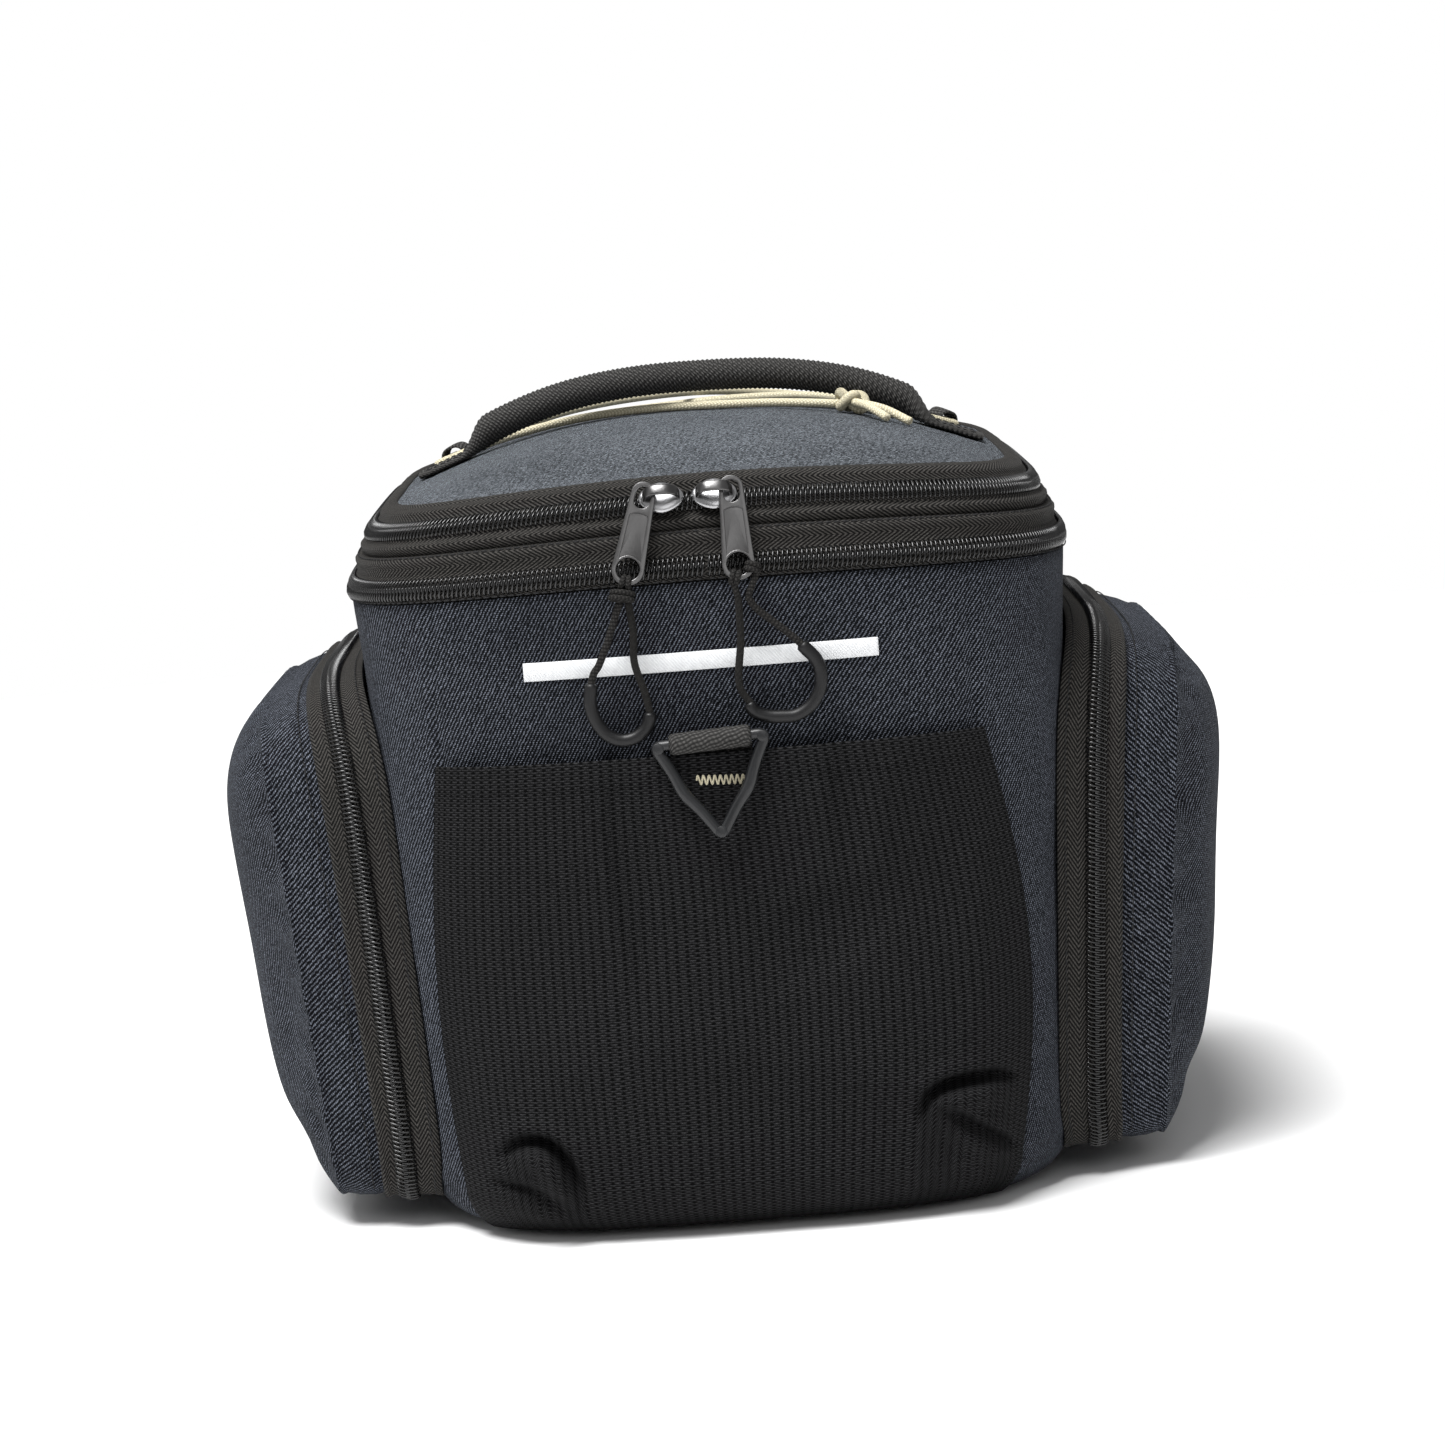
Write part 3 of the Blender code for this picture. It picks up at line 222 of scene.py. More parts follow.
def smooth_shade(name, colour, roughness, worn=None, metallic=0.0, depth=0.00004, coat=0.0, gloss=0.3):
    """Moulded plastic, rubber or metal with fine grain and uneven gloss."""
    shade = Shade(name)
    spots = shade.noise(840.0, 3.0)
    drift = shade.noise(60.0, 3.0)
    lighter = worn or tuple(min(1.0, c * 1.5) for c in colour)
    shade.set(Base_Color=shade.mix(shade.span(drift, 0.35, 0.75), colour, lighter))
    shade.set(Roughness=shade.span(drift, 0.3, 0.7, roughness * 0.85, min(1.0, roughness * 1.2)))
    shade.set(Metallic=metallic, Coat_Weight=coat, Coat_Roughness=0.15, Specular_IOR_Level=gloss)
    return shade.bump(spots, depth).material


def reflective_shade():
    """Pale reflective film over the cloth's weave."""
    shade = Shade("reflective_film")
    u, v = shade.uv()
    ribs = shade.wave(shade.math("MULTIPLY_ADD", v, 0.8, u), 0.0011)
    patches = shade.span(shade.noise(500.0, 3.0), 0.35, 0.7, 0.0, 1.0)
    tone = shade.math("MULTIPLY_ADD", ribs, 0.35, shade.math("MULTIPLY", patches, 0.4))
    shade.set(Base_Color=shade.mix(tone, (0.84, 0.85, 0.86), (0.60, 0.61, 0.63)), Roughness=0.42)
    return shade.bump(ribs, 0.00008).material


# Every material by name
LOOKS = {
    "twill": twill("navy_twill", math.radians(-32), (0.0006, 0.0009, 0.0018), (0.190, 0.208, 0.252)),
    # The lid's twill is the body's navy cloth with far lighter colours: painted light from above on the
    # bag's top
    "lid_twill_painted_light": twill(
        "lid_twill_painted_light", math.radians(58), (0.0014, 0.0020, 0.0030), (0.430, 0.470, 0.520), pitch=0.0014),
    "zip_tape": herringbone("zip_tape_cloth", (0.0007, 0.0007, 0.0006), (0.080, 0.075, 0.069)),
    "zip_coil": smooth_shade(
        "nylon_teeth", (0.002, 0.002, 0.0022), 0.22, depth=0.00002, coat=0.25, gloss=0.5),
    "mesh_fabric": mesh_cloth("knitted_mesh", (0.0002, 0.0002, 0.0003), (0.0380, 0.0380, 0.0400)),
    "webbing": ribbed("black_webbing", (0.0012, 0.0012, 0.0012), (0.105, 0.102, 0.098), 0.00165, 0.0014),
    "slider_metal": smooth_shade("satin_metal", (0.42, 0.42, 0.43), 0.28, (0.55, 0.55, 0.56), metallic=1.0),
    "pull_metal": smooth_shade(
        "dark_pull_metal", (0.105, 0.103, 0.103), 0.30, (0.14, 0.138, 0.138), metallic=1.0),
    "black_cord": ribbed(
        "black_braid", (0.0010, 0.0010, 0.0010), (0.040, 0.038, 0.036), 0.0012, 0.0013, distance=0.0002),
    "grip_rubber": smooth_shade("soft_rubber", (0.004, 0.004, 0.0045), 0.42, depth=0.00003, gloss=0.35),
    "ring_plastic": smooth_shade(
        "satin_plastic", (0.010, 0.0105, 0.0115), 0.34, (0.018, 0.0185, 0.020), gloss=0.45),
    "cream_cord": ribbed(
        "cream_braid", (0.42, 0.37, 0.24), (0.86, 0.81, 0.63), 0.0010, 0.0013, 0.0002, roughness=0.7),
    "thread": ribbed(
        "black_thread", (0.004, 0.004, 0.004), (0.05, 0.05, 0.052), 0.0006, 0.0006, distance=0.0001),
    "cream_thread": ribbed(
        "cream_thread", (0.45, 0.40, 0.27), (0.85, 0.80, 0.62), 0.0006, 0.0006, distance=0.0001),
    "reflective": reflective_shade(),
}


def dress(piece, look, body="bag", nodes=()):
    """Gives a piece its material, its body and the CAD nodes it stands for."""
    piece.data.materials.clear()
    piece.data.materials.append(LOOKS[look])
    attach(piece, body)
    if nodes:
        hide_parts(*nodes)
    return piece


def mesh_object(name, vertices, faces, uvs=None):
    """Smooth mesh object from arrays, with distances in metres in its cloth map."""
    mesh = bpy.data.meshes.new(name)
    mesh.from_pydata(np.asarray(vertices).reshape(-1, 3).tolist(), [], [list(map(int, f)) for f in faces])
    if uvs is not None:
        layer = mesh.uv_layers.new(name="cloth")
        layer.data.foreach_set("uv", np.asarray(uvs, dtype=np.float32).reshape(-1))
    mesh.shade_smooth()
    return linked(name, mesh)


def linked(name, data):
    """New object of some data, in the scene."""
    item = bpy.data.objects.new(name, data)
    bpy.context.scene.collection.objects.link(item)
    return item


def mend(mesh, distance=None):
    """Turns a mesh's faces outward, after joining points closer than distance."""
    shape = bmesh.new()
    shape.from_mesh(mesh)
    if distance:
        bmesh.ops.remove_doubles(shape, verts=shape.verts, dist=distance)
    bmesh.ops.recalc_face_normals(shape, faces=shape.faces)
    shape.to_mesh(mesh)
    shape.free()


def unit(vectors):
    """The same directions, each one long."""
    return vectors / np.linalg.norm(vectors, axis=-1, keepdims=True)


def distances(points):
    """Distance along a route to each of its points."""
    return np.concatenate([[0.0], np.cumsum(np.linalg.norm(np.diff(points, axis=0), axis=1))])


def read_at(values, steps, wanted):
    """Points or directions at wanted distances along a route."""
    return np.stack([np.interp(wanted, steps, values[:, k]) for k in range(3)], axis=1)


def grid(name, points, look, nodes=(), closed=False, thickness=0.0, body="bag", capped=False, shut_row=None,
         flat=None):
    """Cloth through rows of points: closed joins each row's ends, thickness adds an inner face.

    capped closes both ends of a tube, and shut_row fills the small ring at a sheet's middle.
    flat is a first row and two ways: from that row on the weave runs straight along the ways.
    """
    points = np.asarray(points, dtype=float)
    rows, columns = points.shape[:2]
    full = np.concatenate([points, points[:, :1]], axis=1) if closed else points
    u = distances(full[rows // 2])[None, :].repeat(rows, axis=0)
    steps = np.linalg.norm(np.diff(full, axis=0), axis=2)
    v = np.concatenate([np.zeros((1, full.shape[1])), np.cumsum(steps, axis=0)], axis=0)
    weave = np.stack([u, v], axis=2)
    laid = full @ np.transpose(flat[1:]) if flat else weave
    laid_row = flat[0] if flat else rows
    r, c = np.meshgrid(np.arange(rows - 1), np.arange(full.shape[1] - 1), indexing="ij")
    r, c = r.ravel(), c.ravel()
    corners = [(r, c), (r, c + 1), (r + 1, c + 1), (r + 1, c)]
    places = [full[a, b] for a, b in corners]
    normals = np.cross(places[2] - places[0], places[3] - places[1])
    outward = (normals * (sum(places) / 4 - MIDDLE)).sum()
    if outward < 0:
        corners = corners[::-1]
    faces = np.stack([a * columns + b % columns for a, b in corners], axis=1)
    uvs = np.stack([np.where((r >= laid_row)[:, None], laid[a, b], weave[a, b]) for a, b in corners], axis=1)
    faces = faces.tolist()
    uvs = uvs.reshape(-1, 2).tolist()
    shut = (0, rows - 1) if capped else () if shut_row is None else (shut_row % rows,)
    for row in shut:
        order = range(columns) if (row > 0) == (outward >= 0) else range(columns - 1, -1, -1)
        faces.append([row * columns + k for k in order])
        uvs += [tuple(laid[row, k]) for k in order]
    item = mesh_object(name, points, faces, uvs)
    if capped:
        mend(item.data)
    if thickness:
        solid = item.modifiers.new("thickness", "SOLIDIFY")
        solid.thickness = thickness
        solid.offset = -1.0
    return dress(item, look, body, nodes)


def sweep_frames(points, closed):
    """Two crossing directions at each point of a route, without twist."""
    if closed:
        tangents = unit(np.roll(points, -1, axis=0) - np.roll(points, 1, axis=0))
    else:
        tangents = unit(np.gradient(points, axis=0))
    side = np.cross(tangents[0], [0.0, 0.3, 1.0])
    if np.linalg.norm(side) < 0.2:
        side = np.cross(tangents[0], [1.0, 0.0, 0.0])
    sides = []
    for tangent in tangents:
        side = unit(side - tangent * side.dot(tangent))
        sides.append(side)
    return np.array(sides), np.cross(tangents, sides)


def tube(name, points, radius, look, nodes=(), body="bag", sides=12, closed=False):
    """Round tube with closed ends; radius is one number or one for each point."""
    points = np.asarray(points, dtype=float)
    radius = np.broadcast_to(np.asarray(radius, dtype=float), len(points))
    first, second = sweep_frames(points, closed)
    angles = np.linspace(0, 2 * math.pi, sides, endpoint=False)[:, None]
    rings = np.cos(angles) * first[:, None] + np.sin(angles) * second[:, None]
    rings = points[:, None] + radius[:, None, None] * rings
    if closed:
        item = grid(name, np.concatenate([rings, rings[:1]]), look, nodes, closed=True, body=body)
        mend(item.data, WELD_DISTANCE)
        return item
    tips = []
    for end, sign in ((0, -1), (-1, 1)):
        centre = points[end] + unit(points[end] - points[end - sign]) * radius[end] * 0.35
        tips.append(centre + (rings[end] - points[end]) * 0.6)
    rings = np.concatenate([tips[:1], rings, tips[1:]])
    return grid(name, rings, look, nodes, closed=True, capped=True, body=body)


def resample(points, count):
    """Evenly spaced points along straight lines through the given ones."""
    points = np.asarray(points, dtype=float)
    steps = distances(points)
    return read_at(points, steps, np.linspace(0, steps[-1], count))


def smooth_through(stops, count):
    """Evenly spaced points on a Catmull-Rom curve through the stops."""
    stops = [np.array(p, dtype=float) for p in stops]
    ends = [2 * stops[0] - stops[1]] + stops + [2 * stops[-1] - stops[-2]]
    fine = []
    for before, start, end, after in zip(ends, ends[1:], ends[2:], ends[3:]):
        for t in np.linspace(0, 1, 24, endpoint=False):
            fine.append(0.5 * (2 * start + (end - before) * t
                               + (2 * before - 5 * start + 4 * end - after) * t ** 2
                               + (3 * start - before - 3 * end + after) * t ** 3))
    fine.append(stops[-1])
    return resample(fine, count)


def power_curve(angle, half_across, half_up, power_across, power_up):
    """Rounded rectangle, the same curve as the solids have for the bag's outline in plan."""
    cosine, sine = np.cos(angle), np.sin(angle)
    across = np.sign(cosine) * half_across * np.abs(cosine) ** (2 / power_across)
    up = np.sign(sine) * half_up * np.abs(sine) ** (2 / power_up)
    return across, up


def even_angles(curve, count):
    """Angles from the lowest point round that space a closed curve's points evenly."""
    share = np.linspace(0, 1, 2500)
    quarter = math.pi / 2 * share ** 5 / (share ** 5 + (1 - share) ** 5)
    fine = np.unique(np.concatenate([(k - 1) * math.pi / 2 + quarter for k in range(4)]))
    across, up = curve(fine)
    steps = np.concatenate([[0.0], np.cumsum(np.hypot(np.diff(across), np.diff(up)))])
    wanted = np.linspace(0, steps[-1], count, endpoint=False)
    return np.interp(wanted, steps, fine)


def body_curve(angle):
    return power_curve(angle, BODY_WIDTH / 2, BODY_LENGTH / 2, POWER_ACROSS, POWER_ALONG)


def crown(angle):
    return 1 - np.abs(np.cos(angle)) ** (4 / POWER_ACROSS)


def plan_points(angle, inset, height):
    half_sizes = (BODY_WIDTH / 2 - inset, BODY_LENGTH / 2 - inset)
    across, along = power_curve(angle, *half_sizes, POWER_ACROSS, POWER_ALONG)
    return np.stack([across, along + SHIFT, np.broadcast_to(height, across.shape)], axis=-1)


def wall_inset(height):
    inset = BASE_INSET * (1 - np.minimum(height, WALL_HEIGHT) / WALL_HEIGHT)
    low = np.maximum(0.0, EDGE_RADIUS - height)
    return inset + EDGE_RADIUS - np.sqrt(np.maximum(0.0, EDGE_RADIUS ** 2 - low ** 2))


def side_reach(along, height):
    """Distance from the middle to the side wall; along is measured from the bag's middle."""
    inset = wall_inset(height)
    share = np.minimum(1.0, np.abs(along) / (BODY_LENGTH / 2 - inset))
    return (BODY_WIDTH / 2 - inset) * (1 - share ** POWER_ALONG) ** (1 / POWER_ACROSS)


def rear_face(across, inset):
    share = np.minimum(1.0, np.abs(across) / (BODY_WIDTH / 2 - inset))
    return -(BODY_LENGTH / 2 - inset) * (1 - share ** POWER_ACROSS) ** (1 / POWER_ALONG) + SHIFT


def soft_noise(points, size, seed):
    """Smooth random field, about -1 to 1, with hills of a size in metres."""
    shift = Vector((seed * 3.1, seed * 7.7, seed * 1.3))
    flat = np.asarray(points).reshape(-1, 3) / size
    values = [noise.noise(Vector(p) + shift) for p in flat]
    return np.array(values).reshape(np.asarray(points).shape[:-1])


def hollows(points, depth, size, seed):
    """Soft hollows down to a depth, of a size in metres."""
    return depth * (0.5 + 0.5 * soft_noise(points, size, seed))


def bell(value, middle, width):
    """Smooth hill of height 1 round a value."""
    return np.exp(-((value - middle) / width) ** 2)


# Places across the rear of its panel's two sewn lines
PANEL_SEAMS = (-0.0935, 0.085)


def panel_give(points):
    """How far the walls sink in: soft waves of the cloth and the sewn lines of the rear panel."""
    x, y, z = points[..., 0], points[..., 1], points[..., 2]
    give = hollows(points, 0.0011, 0.055, 1) + hollows(points, 0.0006, 0.022, 2)
    give *= np.clip((z - 0.012) / 0.03, 0, 1) * np.clip((WALL_HEIGHT + 0.001 - z) / 0.02, 0.15, 1)
    rear = y < SHIFT - 0.12
    for place in PANEL_SEAMS:
        give = give + np.where(rear, 0.0011 * bell(x, place, 0.0011), 0.0)
    return give


def out_direction(points):
    """Rough outward direction of the walls at each point."""
    x, y = points[..., 0], points[..., 1] - SHIFT
    nx = np.sign(x) * np.abs(x / (BODY_WIDTH / 2)) ** (POWER_ACROSS - 1) / (BODY_WIDTH / 2)
    ny = np.sign(y) * np.abs(y / (BODY_LENGTH / 2)) ** (POWER_ALONG - 1) / (BODY_LENGTH / 2)
    return unit(np.stack([nx, ny, np.zeros_like(nx)], axis=-1))


BODY_ANGLES = even_angles(body_curve, 300)


def body_shell():
    """Walls and base of twill, open at the top, with soft waves and the rear panel's seams."""
    rows = []
    for share in (0.02, 0.3, 0.6, 0.85):
        rows.append(plan_points(BODY_ANGLES, BASE_INSET + EDGE_RADIUS, 0.0) * [share, share, 1])
        rows[-1][:, 1] += SHIFT * (1 - share)
    for turn in np.radians([0, 12, 24, 36, 48, 60, 72, 82]):
        inset = BASE_INSET + EDGE_RADIUS - EDGE_RADIUS * math.sin(turn)
        rows.append(plan_points(BODY_ANGLES, inset, EDGE_RADIUS - EDGE_RADIUS * math.cos(turn)))
    for share in np.linspace(0, 1, 44):
        height = EDGE_RADIUS + (WALL_HEIGHT - GAP / 2 - EDGE_RADIUS) * share
        points = plan_points(BODY_ANGLES, wall_inset(height), height)
        points[:, 2] += WALL_ARCH * crown(BODY_ANGLES) * share
        rows.append(points - out_direction(points) * panel_give(points)[..., None])
    return grid("body_shell", rows, "twill", ("main_body",), closed=True, thickness=0.0022, shut_row=0)


def band_points(angle, share, low, high, proud):
    """Points on a sloping band between two (inset, height, arch) lines, moved out by proud."""
    inset, height, arch = (a + (b - a) * share for a, b in zip(low, high))
    run, rise = high[0] - low[0], high[1] - low[1]
    slope = math.hypot(run, rise)
    points = plan_points(angle, inset - proud * rise / slope, 0.0)
    points[..., 2] = height + proud * run / slope + arch * crown(angle)
    return points


def band_profile(share, coil_share, length, laps):
    """How proud the tape stands across its band: rolled edges and a flat bed for the teeth."""
    low, high = share * length, (1 - share) * length
    edge = 0.0011 * bell(low, 0.0026, 0.0017) - 0.0018 * bell(low, 0.0, 0.0010)
    if laps:
        edge += 0.0010 * bell(high, 0.0, 0.0032)
    else:
        edge += 0.0011 * bell(high, 0.0026, 0.0017) - 0.0018 * bell(high, 0.0, 0.0010)
    fold = 0.0004 * (bell((share - coil_share) * length, 0.0047, 0.0006)
                     + bell((coil_share - share) * length, 0.0047, 0.0006))
    return edge - fold


# Half of the hinge strip's width across the front
HINGE_HALF = 0.1007
# A share far off the band, so that the hinge strip gets no bed for teeth
NO_COIL = 9.0
# The upper tape laps over the lid's edge: share of the lid, and lift above it in metres
TAPE_LAP = (
    (0.996, 0.0009), (0.988, 0.0013), (0.976, 0.0012), (0.965, 0.0007), (0.958, 0.0001), (0.955, -0.0020),
)


def zip_band(name, low, high, coil_share, angles, nodes, look="zip_tape", closed=False, laps=False):
    """Tape between two lines round the bag, rolled at its seams or lapping over the lid."""
    length = math.hypot(high[0] - low[0], high[1] - low[1])
    rows = []
    for share in np.linspace(0, 1, 20):
        proud = float(band_profile(share, coil_share, length, laps))
        points = band_points(angles, share, low, high, proud)
        waves = 0.00035 * soft_noise(points, 0.018, 5)
        points += out_direction(points) * waves[:, None]
        rows.append(points)
    if laps:
        rows += [lid_point(angles, share, lift) for share, lift in TAPE_LAP]
    return grid(name, rows, look, nodes, closed=closed, thickness=0.0011)


def bars(name, rings, look, nodes=()):
    """Many small closed bars at once: rings[k][j] holds point j of ring k of every bar."""
    rings = np.asarray(rings)
    count, around, places = rings.shape[:3]
    size = count * around
    faces = [list(range(around))[::-1], list(range(size - around, size))]
    for k in range(count - 1):
        for j in range(around):
            a, b = k * around + j, k * around + (j + 1) % around
            faces.append([a, b, b + around, a + around])
    vertices = rings.reshape(size, places, 3).transpose(1, 0, 2)
    everything = [[i + place * size for i in face] for place in range(places) for face in faces]
    item = mesh_object(name, vertices, everything)
    mend(item.data)
    return dress(item, look, "bag", nodes)


TOOTH_PITCH = 0.00158
TOOTH_REACH = 0.0037
TOOTH_HEIGHT = 0.0023
# Rings along one tooth: share of its reach, share of its height, share of its width
TOOTH_RINGS = ((1.0, 0.10, 0.75), (0.98, 0.36, 1.0), (0.72, 0.74, 1.0), (0.28, 0.92, 1.0),
               (-0.16, 0.86, 1.0), (-0.30, 0.62, 0.75))


def coil_teeth(name, middle, across, out, nodes):
    """Interlocked nylon teeth along a zip: two staggered rows of bent bars."""
    steps = distances(middle)
    count = int(steps[-1] / TOOTH_PITCH)
    halves = []
    for sign, start in ((1.0, 0.25), (-1.0, 0.75)):
        places = (np.arange(count) + start) * TOOTH_PITCH
        centre, side, up = (read_at(values, steps, places) for values in (middle, across, out))
        side, up = unit(side), unit(up)
        ahead = np.cross(side, up) * sign
        half_width = TOOTH_PITCH * 0.25
        rings = []
        for reach, height, width in TOOTH_RINGS:
            ring = []
            for turn in np.radians([0, 72, 144, 216, 288]):
                along = half_width * width * math.cos(turn) + 0.22 * reach * TOOTH_REACH
                rise = height * TOOTH_HEIGHT + half_width * 0.9 * math.sin(turn)
                ring.append(centre + side * sign * reach * TOOTH_REACH + ahead * along + up * rise)
            rings.append(ring)
        halves.append(rings)
    return bars(name, np.concatenate(halves, axis=2), "zip_coil", nodes)


# Rings along one stitch: place along it, rise and share of its thickness
STITCH_RINGS = ((-0.5, -0.6, 0.5), (-0.36, 0.5, 0.95), (0.0, 0.9, 1.1), (0.36, 0.5, 0.95), (0.5, -0.6, 0.5))
STITCH_SHARE = 0.72
THREAD_RADIUS = 0.00026


def thread_line(name, line, across, out, lift, pitch=0.0028):
    """Row of sewn stitches along a route: short threads that dip into the cloth at both ends."""
    steps = distances(line)
    count = max(1, int(steps[-1] / pitch))
    rings = []
    for along, rise, size in STITCH_RINGS:
        places = (np.arange(count) + 0.5 + along * STITCH_SHARE) * pitch
        centre, side, up = (read_at(values, steps, places) for values in (line, across, out))
        ring = []
        for turn in np.radians([0, 72, 144, 216, 288]):
            height = lift + THREAD_RADIUS * (rise * 0.5 + size * math.sin(turn) * 0.8)
            ring.append(centre + side * THREAD_RADIUS * size * math.cos(turn) + up * height)
        rings.append(ring)
    return bars(name, rings, "thread")


def band_lane(angles, share, low, high, proud):
    """Middle line, direction up the band and outward direction of a route on a zip band."""
    middle = band_points(angles, share, low, high, proud)
    below, above = (band_points(angles, share + step, low, high, proud) for step in (-0.05, 0.05))
    raised = band_points(angles, share, low, high, proud + 0.001)
    return middle, unit(above - below), unit(raised - middle)


def zip_bands():
    """Both zip bands with their teeth, rolled seams and stitches, and the plain hinge strip."""
    lower, upper = (WALL_LINE, SEAM_LINE), (SEAM_LINE, LID_LINE)
    ring = even_angles(body_curve, 600)
    zip_band("expansion_zip_tape", *lower, LOWER_COIL_SHARE, ring, ("expansion_tape",), closed=True)
    looped = np.concatenate([ring, [ring[0] + 2 * math.pi]])
    route = band_lane(looped, LOWER_COIL_SHARE, *lower, 0.0001)
    coil_teeth("expansion_zip_teeth", *route, ("expansion_coil",))
    fine = np.linspace(0, 2 * math.pi, 4001) - math.pi / 2
    across, along = body_curve(fine)
    front = fine[(along > 0) & (np.abs(across) < HINGE_HALF)]
    run = even_angles(body_curve, 700)
    zip_run = np.concatenate([run[run > front[-1]], run[run < front[0]] + 2 * math.pi])
    hinge_run = run[(run >= front[0]) & (run <= front[-1])]
    zip_band("upper_zip_tape", *upper, UPPER_COIL_SHARE, zip_run, ("lid_zip_tape",), laps=True)
    coil_teeth("upper_zip_teeth", *band_lane(zip_run, UPPER_COIL_SHARE, *upper, 0.0001), ("lid_zip_coil",))
    zip_band("front_hinge", *upper, NO_COIL, hinge_run, ("lid_hinge",), look="twill", laps=True)
    thread_line("seam_stitches", *band_lane(looped, 0.93, *lower, 0.0002), 0.0003)
    thread_line("wall_stitches", *band_lane(looped, 0.03, *lower, 0.0002), 0.0006)


def lid_point(angle, share, lift=0.0):
    """Point on the lid at a share of the way from its middle to its edge."""
    edge = LID_LINE[1] + LID_LINE[2] * crown(angle) + GAP / 2
    point = plan_points(angle, LID_LINE[0], 0.0)
    point[..., :2] = (point[..., :2] - [0, SHIFT]) * share + [0, SHIFT]
    point[..., 2] = edge + (LID_CREST - edge) * (1 - share ** LID_POWER) + lift
    return point


def lid_height(across, along):
    """Height of the lid over a place; along is measured from the bag's middle."""
    low, high = 1e-4, 1.0
    for _ in range(30):
        middle = (low + high) / 2
        reach = abs(across / (BODY_WIDTH / 2 - LID_LINE[0]) / middle) ** POWER_ACROSS
        reach += abs(along / (BODY_LENGTH / 2 - LID_LINE[0]) / middle) ** POWER_ALONG
        low, high = (middle, high) if reach > 1 else (low, middle)
    side = min(1.0, abs(across / (BODY_WIDTH / 2 - LID_LINE[0]) / high))
    edge = LID_LINE[1] + LID_LINE[2] * (1 - side ** 2)
    return edge + (LID_CREST - edge) * (1 - high ** LID_POWER)


LID_SAG = 0.0035


def lid_cover():
    """Domed lid of twill, coloured lighter as painted light from above, with soft dips, on the upper zip's
    tape.
    """
    rows = []
    for share in np.concatenate([np.linspace(0.01, 0.9, 36), np.linspace(0.92, 1.0, 6)]):
        points = lid_point(BODY_ANGLES, share)
        dip = hollows(points, 0.0016, 0.07, 8) + hollows(points, 0.0007, 0.03, 9)
        dip += LID_SAG * (1 - share ** 2)
        points[:, 2] -= dip * min(1.0, (1 - share) / 0.12)
        rows.append(points)
    weave = (0, (1.0, 0.0, 0.0), (0.0, -1.0, 0.0))
    return grid("lid_cover", rows, "lid_twill_painted_light", ("lid",),
                closed=True, thickness=0.0018, shut_row=0, flat=weave)


body_shell()
zip_bands()
lid_cover()

# Side pockets, as in the solids
POCKET_HALF_LENGTH = 0.128
POCKET_SEAM_HALF_LENGTH = 0.119
POCKET_BOTTOM = 0.007
POCKET_TOP = 0.190
POCKET_SEAM_DROP = 0.011
POCKET_POWER_ALONG = 4.5
POCKET_POWER_UP = 5.5
POCKET_POWER_BOTTOM = 10.0
POCKET_TOP_REACH = 0.159
POCKET_BOTTOM_REACH = 0.142
POCKET_FLARE_POWER = 1.2
POCKET_CROWN = 0.024
POCKET_CROWN_POWER = 4
POCKET_CROWN_HEIGHT = 0.112
POCKET_MIDDLE = (POCKET_TOP + POCKET_BOTTOM) / 2
POCKET_HALF_HEIGHT = (POCKET_TOP - POCKET_BOTTOM) / 2


def pocket_curve(angle, depth=0.0, proud=0.0):
    """Along and up of the gusset: round above its middle, nearly square below it."""
    half_length = POCKET_HALF_LENGTH + (POCKET_SEAM_HALF_LENGTH - POCKET_HALF_LENGTH) * depth + proud
    high_half = POCKET_HALF_HEIGHT - POCKET_SEAM_DROP * depth + proud
    low_half = POCKET_HALF_HEIGHT + proud
    high = power_curve(angle, half_length, high_half, POCKET_POWER_ALONG, POCKET_POWER_UP)
    low = power_curve(angle, half_length, low_half, POCKET_POWER_BOTTOM, POCKET_POWER_BOTTOM)
    upper = np.sin(angle) > 0
    return np.where(upper, high[0], low[0]), np.where(upper, high[1], low[1])


POCKET_ANGLES = even_angles(pocket_curve, 270)
ZIP_ANGLES = even_angles(pocket_curve, 700)
ZIP_FIRST_ANGLE = math.radians(-50.0)
POCKET_DEPTHS = np.concatenate([np.linspace(0, 0.9, 12), [0.95, 0.98, 1.0]])


def seam_reach(height):
    share = np.clip((height - POCKET_BOTTOM) / (POCKET_TOP - POCKET_BOTTOM), 0, 1)
    return POCKET_BOTTOM_REACH + (POCKET_TOP_REACH - POCKET_BOTTOM_REACH) * share ** POCKET_FLARE_POWER


def gusset_points(side, angle, depth, proud):
    """Points between the side wall, depth 0, and the pocket's outer seam, depth 1."""
    along, up = pocket_curve(angle, depth, proud)
    height = POCKET_MIDDLE + up
    root = side_reach(along, height) + GAP
    reach = root + (seam_reach(height) - root) * depth
    return np.stack([side * reach, along + SHIFT, height], axis=-1)


# Folds of each pocket's outer panel: along, height, radius along, radius up, depth, in metres
PANEL_FOLDS = {
    "left": ((-0.108, 0.150, 0.014, 0.05, 0.004), (-0.100, 0.075, 0.012, 0.03, 0.005),
             (-0.060, 0.178, 0.030, 0.007, 0.003), (0.040, 0.030, 0.05, 0.008, 0.003),
             (-0.070, 0.028, 0.025, 0.008, 0.004), (0.085, 0.120, 0.010, 0.05, 0.003)),
    "right": ((-0.100, 0.171, 0.045, 0.0045, 0.006), (-0.108, 0.130, 0.010, 0.016, 0.006),
              (-0.106, 0.098, 0.010, 0.012, 0.004), (-0.104, 0.060, 0.010, 0.025, 0.005),
              (-0.060, 0.028, 0.040, 0.007, 0.004), (0.080, 0.150, 0.030, 0.007, 0.004),
              (0.020, 0.168, 0.060, 0.008, 0.0025)),
}


